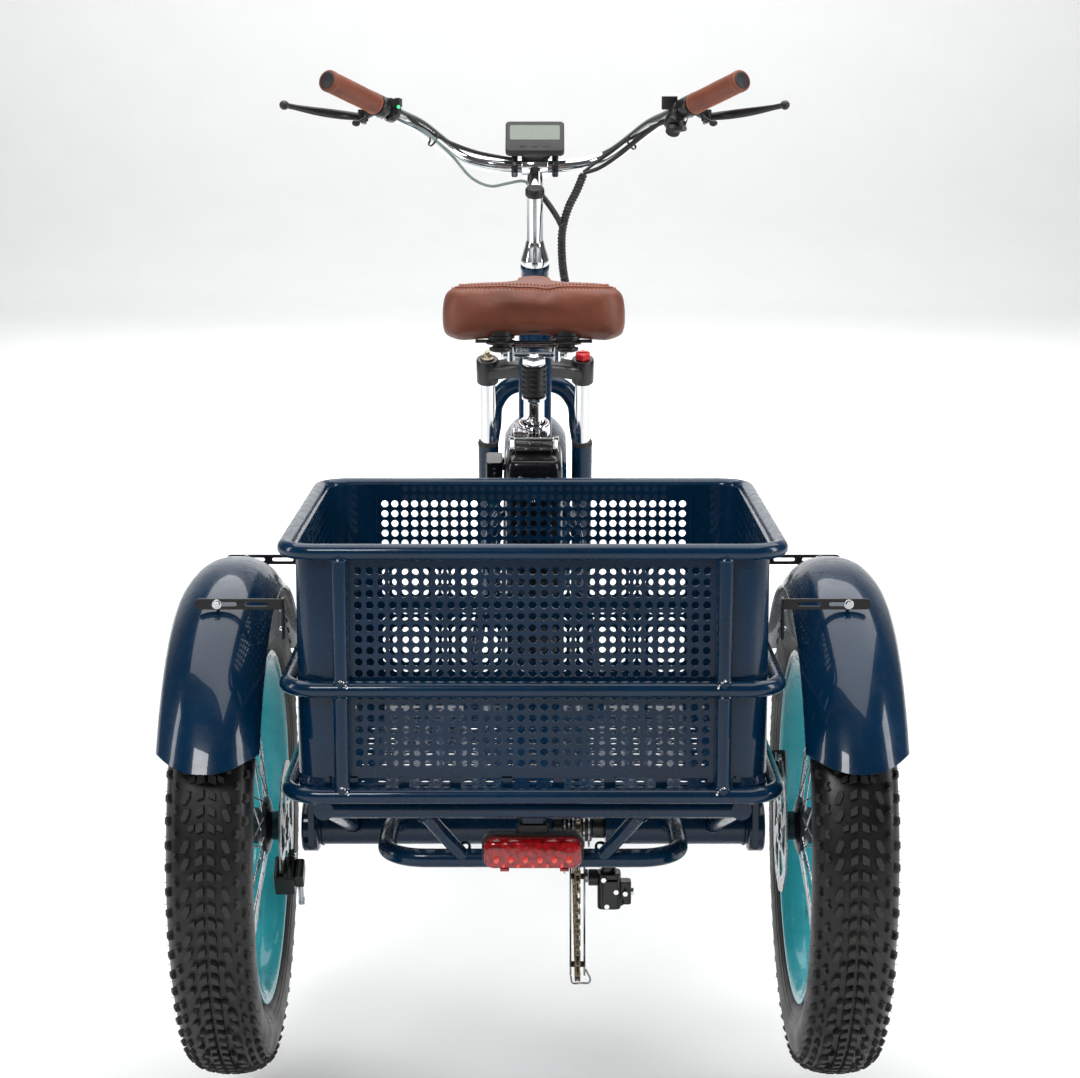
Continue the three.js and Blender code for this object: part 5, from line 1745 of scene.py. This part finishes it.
def build_lowers():
    legs = Shells(HEAD_FRAME)
    for side in SIDES:
        spot = shift((side * LEG_X, LEG_Y, 0)) @ UPRIGHT
        legs.turned([(0.1, -16), (12, -16), (15, -12), (16.4, 0), (17, 40), (17, 296), (17, 329),
                     (15.4, 330),
                     (14.3, 330), (14.3, 205), (0.1, 200)], spot, 40)
        legs.block((8, 46, 36), (side * 67, 42, -4), r=4)
        legs.rod((side * 66, 46, 2), (side * 78, 34, 30), 9, 16)
    arch_side = [(76, 44, 322), (71, 62, 346), (67, 66, 384), (45, 68, 414)]
    path = [(-x, y, z) for x, y, z in arch_side] + [(0, 68, 424)] + arch_side[::-1]
    legs.tube(path, 14.5, 24, 8)
    piece("fork_lowers", legs, "navy", "fork_slider", ["fork_lowers"], bevel=0.6, angle=50)
    seals = Shells(HEAD_FRAME)
    for side in SIDES:
        spot = shift((side * LEG_X, LEG_Y, 0)) @ UPRIGHT
        seals.turned([(13.2, 328), (17.2, 328), (17.2, 331), (16, 334.4), (13.2, 335)], spot, 36,
                     closed=True)
    piece("fork_seals", seals, "rubber", "fork_slider", bevel=0.3)
    nuts = Shells(HEAD_FRAME)
    for side in SIDES:
        nuts.rod((side * 71, FORK_OFFSET, 0), (side * 79, FORK_OFFSET, 0), 10.5, 6)
        nuts.rod((side * 71, FORK_OFFSET, 0), (side * 73, FORK_OFFSET, 0), 13, 28)
        nuts.rod((side * LEG_X, LEG_Y, -16), (side * LEG_X, LEG_Y, -18), 6, 6)
    piece("front_axle_nuts", nuts, "alloy", "fork_slider", bevel=0.5)


class TRIKE_OT_fork(Operator):
    """Build the suspension fork"""

    bl_idname = "trike.fork"
    bl_label = "Fork"

    def execute(self, context):
        build_fork()
        build_lowers()
        return {"FINISHED"}


# ---------------------------------------------------------------- cockpit
BAR_R = 11.1
BAR = on_head(0, 68, 806)
GRIP_IN = Vector((240, 930, 1144))
GRIP_OUT = Vector((305, 835, 1178))
GRIP_WAY = (GRIP_OUT - GRIP_IN).normalized()
LEVER_PIVOT = Vector((263, 963, 1125))
LEVER_TIP = Vector((371, 860, 1142))
LEVER_AXIS = GRIP_WAY.cross(Vector((0.825, 0.565, 0))).normalized()


def along_grip(mm):
    return GRIP_IN + GRIP_WAY * mm


def build_stem():
    stem = Shells(HEAD_FRAME)
    stem.turned([(0.1, 668.6), (21.4, 668.6), (22, 669.4), (22, 677), (21, 680), (15.4, 700), (14.2, 706),
                 (13, 708),
                 (12.6, 710), (12.6, 784), (0.1, 784)], UPRIGHT, 44)
    stem.tube([(0, -4, 772), (0, 20, 785), (0, 68, 806)], 12.5, 28, 6)
    stem.turned([(12.2, -21), (17.6, -21), (19, -19.4), (19, 19.4), (17.6, 21), (12.2, 21)],
                shift((0, 68, 806)), 44, closed=True)
    stem.block((26, 9, 12), (0, 86, 800), r=3)
    piece("stem", stem, "chrome", "steering", ["stem"], bevel=0.5, angle=45)
    cap = Shells(HEAD_FRAME)
    cap.turned([(0.1, 783), (13.6, 783), (15, 785.4), (15, 794), (13, 797), (0.1, 798.4)], UPRIGHT, 32)
    piece("stem_cap", cap, "rubber", "steering", bevel=0.4)
    bolts = Shells(HEAD_FRAME)
    for x in (-8, 8):
        bolts.rod((x, 86, 805), (x, 86, 809), 3.6, 6)
    piece("stem_bolts", bolts, "dark_chrome", "steering", bevel=0.3)


def build_bar():
    half = [Vector((50, BAR.y, BAR.z)), Vector((110, BAR.y - 2, BAR.z + 12)), along_grip(-112),
            along_grip(-60),
            along_grip(-0.3)]
    path = [Vector((-p.x, p.y, p.z)) for p in half[::-1]] + [BAR] + half
    bar = Shells()
    bar.tube(path, BAR_R, 32, 12)
    piece("handlebar", bar, "chrome", "steering", ["handlebar"])


SEAM_R = 16.15  # from the grip's middle to its lacing


def build_grip(side):
    name = side_name(side) + "_grip"
    place = place_scale(side) @ axis_frame(GRIP_IN, GRIP_OUT)
    length = (GRIP_OUT - GRIP_IN).length
    hide = Shells(place)
    hide.turned([(12, 0.2), (15.2, 0.4), (16, 2), (16.2, 8), (15.7, 30), (16.1, 60), (16, length - 10),
                 (16.3, length - 7),
                 (16.4, length - 3), (15.6, length - 1), (13, length - 0.6), (12, length - 4),
                 (0.1, length - 4),
                 (0.1, 6), (12, 6)], HERE, 48)
    piece(name, hide, "leather", "steering", [name], angle=60)
    plug = Shells(place)
    plug.turned([(0.1, length - 5), (12.6, length - 5), (12.6, length - 1), (11.4, length),
                 (0.1, length + 0.6)],
                HERE, 36)
    piece(name + "_plug", plug, "plastic", "steering")
    # The hide meets along the grip's underside in a zigzag of lacing; a ring of thread edges each end.
    seam = Shells(place)
    under = (axis_frame(GRIP_IN, GRIP_OUT).to_3x3().inverted() @ Vector((0.25, -0.55, -0.8))).normalized()
    base = math.atan2(under.z, under.y)
    count = 26
    for k in range(count):
        x = 6 + (length - 14) * k / count
        for way in SIDES:
            a, b = base + way * 0.15, base - way * 0.15
            start = Vector((x, SEAM_R * math.cos(a), SEAM_R * math.sin(a)))
            far = Vector((x + (length - 14) / count, SEAM_R * math.cos(b), SEAM_R * math.sin(b)))
            lifted = (start + far) / 2 + Vector((0, math.cos(base), math.sin(base))) * 0.5
            seam.tube([start, lifted, far], 0.5, 6, 3)
    for x in (5, length - 8.5):
        for k in range(30):
            a, b = 2 * math.pi * k / 30, 2 * math.pi * (k + 0.6) / 30
            seam.rod((x, 16.2 * math.cos(a), 16.2 * math.sin(a)),
                     (x, 16.2 * math.cos(b), 16.2 * math.sin(b)), 0.5, 6)
    piece(name + "_stitching", seam, "thread", "steering")


def build_perch(side):
    """The brake perch: a ring on the bar, an arm out to the lever, an adjuster and a small trimming knob."""
    name = "left_brake_perch_and_keypad" if side < 0 else "right_brake_perch"
    mirror = place_scale(side)
    body = Shells(mirror)
    ring = axis_frame(along_grip(-20), along_grip(-2))
    body.turned([(11.9, 0), (15.4, 0), (16.5, 1.4), (16.5, 16.6), (15.4, 18), (11.9, 18)], ring, 36,
                closed=True)
    start, end = along_grip(-12) + Vector((10, 8, -6)), LEVER_PIVOT
    way = (end - start).normalized()
    body.tube([start, start.lerp(end, 0.5), end - way * 8.5], 7, 18, 3)
    for up in SIDES:
        spot = LEVER_PIVOT + LEVER_AXIS * (up * 8.6)
        body.rod(spot - LEVER_AXIS * 1.1, spot + LEVER_AXIS * 1.1, 8.4, 20)
        body.rod(spot, spot - way * 13, 3.0, 10)
    body.rod(along_grip(-12) + Vector((6, 12, -12)), along_grip(-12) + Vector((-14, 22, -16)), 4.6, 14)
    if side < 0:
        keys = axis_frame(along_grip(-44), along_grip(-28))
        body.turned([(11.9, 0), (15.4, 0), (16.5, 1.2), (16.5, 14.8), (15.4, 16), (11.9, 16)], keys, 36,
                    closed=True)
        body.block((25, 29, 13), (214, 952, 1146), r=5)
        body.block((22, 22, 12), (216, 954, 1134), r=4)
    piece(name, body, "black", "steering", [name], bevel=0.7, angle=45)
    small = Shells(mirror)
    for up in SIDES:
        spot = LEVER_PIVOT + LEVER_AXIS * (up * 9.4)
        small.rod(spot, spot + LEVER_AXIS * (up * 1.6), 3.6, 6)
    clamp = along_grip(-11) + Vector((-4, 6, -15))
    small.rod(clamp, clamp + Vector((-3, 2, -6)), 2.6, 8)
    small.rod(along_grip(-12) + Vector((-13, 21.4, -15.6)), along_grip(-12) + Vector((-24, 27, -18)), 3.0,
              12)
    piece(name + "_bolts", small, "chrome", "steering", bevel=0.3)
    knob_part = Shells(mirror)
    foot = LEVER_PIVOT - way * 16 + Vector((4, -6, -6))
    tip = foot + Vector((15, -13, -9))
    knob_part.rod(foot, tip, 2.2, 10)
    knob_part.ball(tip, 5.2, 8, 14, 1.25)
    piece(side_name(side) + "_trim_knob", knob_part, "plastic", "steering")
    if side < 0:
        dots = Shells(mirror)
        for x, y in ((208, 944), (220, 944), (208, 958), (220, 958)):
            dots.rod((x, y, 1152), (x, y, 1153.6), 3.6, 16)
        piece("keypad_buttons", dots, "rubber", "steering", bevel=0.4)
        lamp = Shells(mirror)
        lamp.rod((206, 938.4, 1140), (206, 936.4, 1140), 2.6, 14)
        piece("keypad_lamp", lamp, "green", "steering")


def build_lever(side):
    """A two-finger lever blade that swells in the middle and ends in a ball."""
    prefix = side_name(side)
    mirror = place_scale(side)
    blade = Shells(mirror)
    blade.rod(LEVER_PIVOT - LEVER_AXIS * 7, LEVER_PIVOT + LEVER_AXIS * 7, 7.8, 24)
    route = smooth_path([LEVER_PIVOT, (292, 948, 1128), (332, 902, 1134), LEVER_TIP], 10)
    frames = frames_along(route)
    rings = []
    for i, (place, _, _) in enumerate(frames):
        t = i / (len(frames) - 1)
        way = (frames[min(i + 1, len(frames) - 1)][0] - frames[max(i - 1, 0)][0]).normalized()
        across = way.cross(LEVER_AXIS).normalized()
        wide = 5.4 + 2.2 * math.sin(math.pi * min(1, t * 1.15)) - 1.2 * t
        thick = 3.6 - 0.8 * t
        ring = []
        for k in range(16):
            a = 2 * math.pi * k / 16
            ring.append(place + LEVER_AXIS * (wide * math.cos(a)) + across * (thick * math.sin(a)))
        rings.append(ring)
    blade.loft(rings)
    blade.ball(LEVER_TIP, 7.2, 10, 18)
    name = prefix + "_brake_lever"
    piece(name, blade, "black", prefix + "_lever", [name], angle=60)


def build_shifter():
    body = Shells()
    ring = axis_frame(along_grip(-44), along_grip(-28))
    body.turned([(11.9, 0), (15.4, 0), (16.5, 1.2), (16.5, 14.8), (15.4, 16), (11.9, 16)], ring, 36,
                closed=True)
    pod = axis_frame((212, 955, 1110), (218, 968, 1128))
    body.turned([(0.1, 0), (14, 0), (16.6, 2), (17, 5), (17, 18), (15, 22), (0.1, 22.6)], pod, 32)
    body.block((24, 16, 20), (205, 957, 1146), r=4)
    body.rod((203, 966, 1120), (192, 980, 1116), 4.4, 14)
    piece("shifter_body", body, "black", "steering", ["shifter_body"], bevel=0.8, angle=45)
    thumb = Shells()
    disc_frame = axis_frame((209, 948, 1100.5), (212, 954.4, 1109.4))
    thumb.turned([(0.1, 0), (9.6, 0), (11, 1.4), (11, 9), (9.6, 10.6), (0.1, 10.8)], disc_frame, 28)
    thumb.tube([(210, 951, 1105), (217, 938, 1106), (226, 922, 1108)], 3.4, 14, 5, end=4.6)
    piece("thumb_shifter", thumb, "plastic", "shift_lever", ["thumb_shifter"], bevel=0.5)


def build_display():
    face = shift((0, BAR.y - 16, BAR.z + 42)) @ rotation(50, "X")
    case = Shells(face)
    outline = rounded(92, 60, 6, 6)
    levels = ((0.97, -7), (1.0, -5), (1.0, 5.4), (0.985, 6.6), (0.95, 6.9))
    case.loft([[Vector((x * s, y * s, z)) for x, y in outline] for s, z in levels])
    case.matrix = HERE
    for x in (-32, 32):
        case.turned([(12.5, -5), (16, -5), (17, -4), (17, 4), (16, 5), (12.5, 5)],
                    shift((x, BAR.y, BAR.z)), 32, closed=True)
        case.block((10, 12, 26), (x, BAR.y - 6, BAR.z + 25), r=2.4)
        case.block((8, 8, 9), (x, BAR.y - 12, BAR.z - 13), r=2)
    piece("display", case, "plastic", "screen", ["display"], bevel=0.7, angle=45)
    glass = Shells(face)
    glass.prism(rounded(78, 29, 2.4), 6.7, 7.15, shift((0, 7, 0)))
    piece("display_screen", glass, "screen", "screen")
    keys = Shells(face)
    for x in (-18, 0, 18):
        keys.block((11, 4.4, 1.2), (x, -20, 6.9), r=1.6)
    piece("display_keys", keys, "rubber", "screen", bevel=0.4)
    screws = Shells()
    for x in (-32, 32):
        screws.rod((x, BAR.y - 17, BAR.z + 3), (x, BAR.y - 14, BAR.z + 3), 3.0, 12)
        screws.rod((x, BAR.y - 16.4, BAR.z - 13), (x, BAR.y - 14, BAR.z - 13), 2.8, 12)
    piece("display_screws", screws, "dark_chrome", "screen", bevel=0.3)


BUNDLE = [(76, 1058, 1036), (66, 1048, 1012), (52, 1038, 984), (43, 1032, 950), (42, 1032, 920),
          (44, 1040, 890),
          (48, 1050, 866)]


def wrapped(name, points, radius, pitch, body):
    """A cable bundle under a plastic spiral wrap."""
    route = smooth_path(points, 10)
    spans = [(b - a).length for a, b in zip(route, route[1:])]
    total = sum(spans)
    frames = frames_along(route)
    core = Shells()
    core.tube(route, radius * 0.9, 16, smooth=False)
    turns = total / pitch
    steps = int(turns * 14)
    coil, walked, index = [], 0.0, 0
    for k in range(steps + 1):
        along = total * k / steps * 0.999
        while index < len(spans) - 1 and walked + spans[index] < along:
            walked += spans[index]
            index += 1
        t = (along - walked) / spans[index]
        place = frames[index][0].lerp(frames[index + 1][0], t)
        side, lift = (frames[index][n].lerp(frames[index + 1][n], t).normalized() for n in (1, 2))
        a = 2 * math.pi * turns * k / steps
        coil.append(place + (side * math.cos(a) + lift * math.sin(a)) * radius * 0.86)
    core.tube(coil, pitch * 0.3, 6, smooth=False)
    return piece(name, core, "plastic", body)


def build_cables():
    bundle = wrapped("cable_bundle", BUNDLE, 6.4, 5.2, "steering")
    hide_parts("cable_bundle")
    branch = wrapped("cable_branch",
                     [(-10, 1062, 1024), (14, 1046, 1000), (34, 1032, 972), (45, 1027, 950)], 4.6, 4.0,
                     "steering")
    # From the bundle's lower end the cables run on into a grommet in the down tube.
    tail = Shells()
    tail.tube([(47.6, 1049, 868), (49, 1056, 846), (42, 1062, 818), (28, 1060, 782), (16, 1046, 752)], 5.2,
              16, 8)
    lower = piece("cable_tail", tail, "plastic", None)
    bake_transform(lower)
    grommet = Shells()
    grommet.turned([(4, -2), (8.6, -2), (9.4, 0), (8.6, 4), (5.4, 6), (4, 6)],
                   axis_frame((17, 1047, 754), (27, 1057, 778)), 24, closed=True)
    piece("cable_grommet", grommet, "rubber", "frame")

    thin = Shells()
    right_perch = along_grip(-12) + Vector((-24, 27, -18))
    left_perch = Vector((-right_perch.x, right_perch.y, right_perch.z))
    thin.tube([left_perch, (-176, 1004, 1108), (-130, 1044, 1066), (-98, 1060, 1030), (-70, 1068, 1018),
               (-44, 1070, 1022), (-20, 1066, 1026), (-8, 1062, 1022)], 2.3, 12, 8)
    piece("left_brake_cable", thin, "cable_gray", "steering")
    dark = Shells()
    dark.tube([(-196, 978, 1126), (-170, 1012, 1106), (-140, 1046, 1089), (-96, 1064, 1072),
               (-60, 1068, 1064),
               (-36, 1070, 1060)], 3.0, 12, 8)
    dark.tube([right_perch, (176, 1000, 1106), (146, 1040, 1090), (112, 1062, 1066), (92, 1064, 1052),
               (76, 1060, 1040)],
              2.4, 12, 8)
    dark.tube([(192, 980, 1116), (164, 1014, 1094), (128, 1048, 1064), (100, 1060, 1046), (76, 1060, 1038)],
              3.2, 12, 8)
    dark.tube([(28, BAR.y - 18, BAR.z + 22), (10, 1066, 1050), (-2, 1066, 1034), (-8, 1062, 1024)], 2.2, 10,
              8)
    piece("bar_cables", dark, "plastic", "steering")
    ties = Shells()
    for x, y, z, r in ((-158, 1034, 1091, 12.2), (150, 1040, 1086, 12.2)):
        ties.turned([(r - 0.8, -1.6), (r, -1.6), (r, 1.6), (r - 0.8, 1.6)],
                    axis_frame((x, y, z),
                               (x + 10, y - 5 * (1 if x > 0 else -1), z + 6 * (1 if x > 0 else -1))), 28,
                    closed=True)
    piece("cable_ties", ties, "plastic", "steering")


class TRIKE_OT_cockpit(Operator):
    """Build the stem, the bar, its grips, levers, controls, display and cables"""

    bl_idname = "trike.cockpit"
    bl_label = "Handlebar"

    def execute(self, context):
        build_stem()
        build_bar()
        for side in SIDES:
            build_grip(side)
            build_perch(side)
            build_lever(side)
        build_shifter()
        build_display()
        build_cables()
        return {"FINISHED"}


# ---------------------------------------------------------------- stage
def add_light(name, place, target, size, power, color=(1, 1, 1)):
    light = bpy.data.lights.new(name, "AREA")
    light.shape = "RECTANGLE"
    light.size, light.size_y = size
    light.energy = power
    light.color = color
    obj = bpy.data.objects.new(name, light)
    obj.location = place
    obj.rotation_euler = (Vector(target) - Vector(place)).to_track_quat("-Z", "Y").to_euler()
    bpy.context.scene.collection.objects.link(obj)
    return obj


# The main view: where the camera stands, how far it looks down, and its lens.
CAMERA_AT = (8, -2800.8, 1114.2)
CAMERA_DROP = 9.68
LENS, SENSOR = 81.07, 36


def build_camera():
    camera = bpy.data.cameras.new("Camera")
    camera.sensor_width = SENSOR
    camera.lens = LENS
    camera.clip_end = 60
    obj = bpy.data.objects.new("Camera", camera)
    obj.location = metres(CAMERA_AT)
    obj.rotation_euler = (math.radians(90 - CAMERA_DROP), 0, 0)
    bpy.context.scene.collection.objects.link(obj)
    bpy.context.scene.camera = obj


def build_floor():
    """A sheet that lies flat under the tricycle and curves up far behind it."""
    profile = [(-14, 0), (9, 0), (11, 0.25), (12.4, 1.1), (13, 2.6), (13, 12)]
    path = smooth_path([Vector((0, y, z)) for y, z in profile], 8)
    verts = [(x, p.y, p.z) for p in path for x in (-16, 16)]
    faces = [(2 * i, 2 * i + 1, 2 * i + 3, 2 * i + 2) for i in range(len(path) - 1)]
    mesh = bpy.data.meshes.new("Floor")
    mesh.from_pydata(verts, [], faces)
    for polygon in mesh.polygons:
        polygon.use_smooth = True
    floor = bpy.data.objects.new("Floor", mesh)
    bpy.context.scene.collection.objects.link(floor)
    material, tree, shader = new_finish("Studio paper", (0.93, 0.935, 0.935), 0.7)
    fibre = texture(tree, "ShaderNodeTexNoise", 3, Detail=3.0)
    ramp(tree, fibre.outputs["Fac"], [(0.3, (0.92, 0.925, 0.925)), (0.7, (0.94, 0.945, 0.945))],
         shader.inputs["Base Color"])
    mesh.materials.append(material)


def build_lights():
    world = bpy.data.worlds.new("Studio")
    world.use_nodes = True
    background = world.node_tree.nodes["Background"]
    background.inputs["Color"].default_value = (0.97, 0.985, 1.0, 1)
    background.inputs["Strength"].default_value = 0.09
    bpy.context.scene.world = world
    centre = (0, 0, 0.5)
    add_light("Overhead", (0.2, 0.4, 3.8), centre, (5.0, 5.0), 230)
    add_light("Right wall", (3.4, -1.4, 1.6), centre, (0.9, 2.2), 52)
    add_light("Left wall", (-3.6, -1.0, 1.5), centre, (0.6, 2.2), 30)
    add_light("Front fill", (-1.2, -3.9, 3.0), centre, (1.3, 0.9), 62)
    add_light("Backdrop", (0, 4.5, 3.8), (0, 8.5, 0.6), (7, 3), 620)


class TRIKE_OT_stage(Operator):
    """Build the camera, the paper floor and the studio lights"""

    bl_idname = "trike.stage"
    bl_label = "Stage"

    def execute(self, context):
        context.scene.view_settings.view_transform = "Standard"
        build_camera()
        build_floor()
        build_lights()
        return {"FINISHED"}


# ---------------------------------------------------------------- panel
STEPS = ("stage", "frame", "wheels", "basket", "fenders", "tail_light", "brakes", "drivetrain", "battery",
         "seat",
         "fork", "cockpit")


class TRIKE_PT_panel(Panel):
    bl_idname = "TRIKE_PT_panel"
    bl_label = "Cruiser tricycle"
    bl_space_type = "VIEW_3D"
    bl_region_type = "UI"
    bl_category = "Tricycle"

    def draw(self, context):
        colors, sizes = context.scene.trike_colors, context.scene.trike_sizes
        box = self.layout.box()
        for setting in ("frame", "rims", "leather"):
            box.prop(colors, setting)
        for setting in ("hole_pitch", "hole_width", "spokes", "tread_repeats", "simulate"):
            box.prop(sizes, setting)
        column = self.layout.column(align=True)
        for step in STEPS:
            column.operator("trike." + step)


CLASSES = (
    TrikeColors, TrikeSizes, TRIKE_OT_stage, TRIKE_OT_frame,
    TRIKE_OT_wheels, TRIKE_OT_basket, TRIKE_OT_fenders, TRIKE_OT_tail_light,
    TRIKE_OT_brakes, TRIKE_OT_drivetrain, TRIKE_OT_battery, TRIKE_OT_seat,
    TRIKE_OT_fork, TRIKE_OT_cockpit, TRIKE_PT_panel,
)


def register():
    for cls in CLASSES:
        bpy.utils.register_class(cls)
    bpy.types.Scene.trike_colors = PointerProperty(type=TrikeColors)
    bpy.types.Scene.trike_sizes = PointerProperty(type=TrikeSizes)


def unregister():
    del bpy.types.Scene.trike_sizes
    del bpy.types.Scene.trike_colors
    for cls in reversed(CLASSES):
        bpy.utils.unregister_class(cls)


def main():
    register()
    for step in STEPS:
        getattr(bpy.ops.trike, step)()
    bpy.context.view_layer.update()


if __name__ == "__main__":
    main()
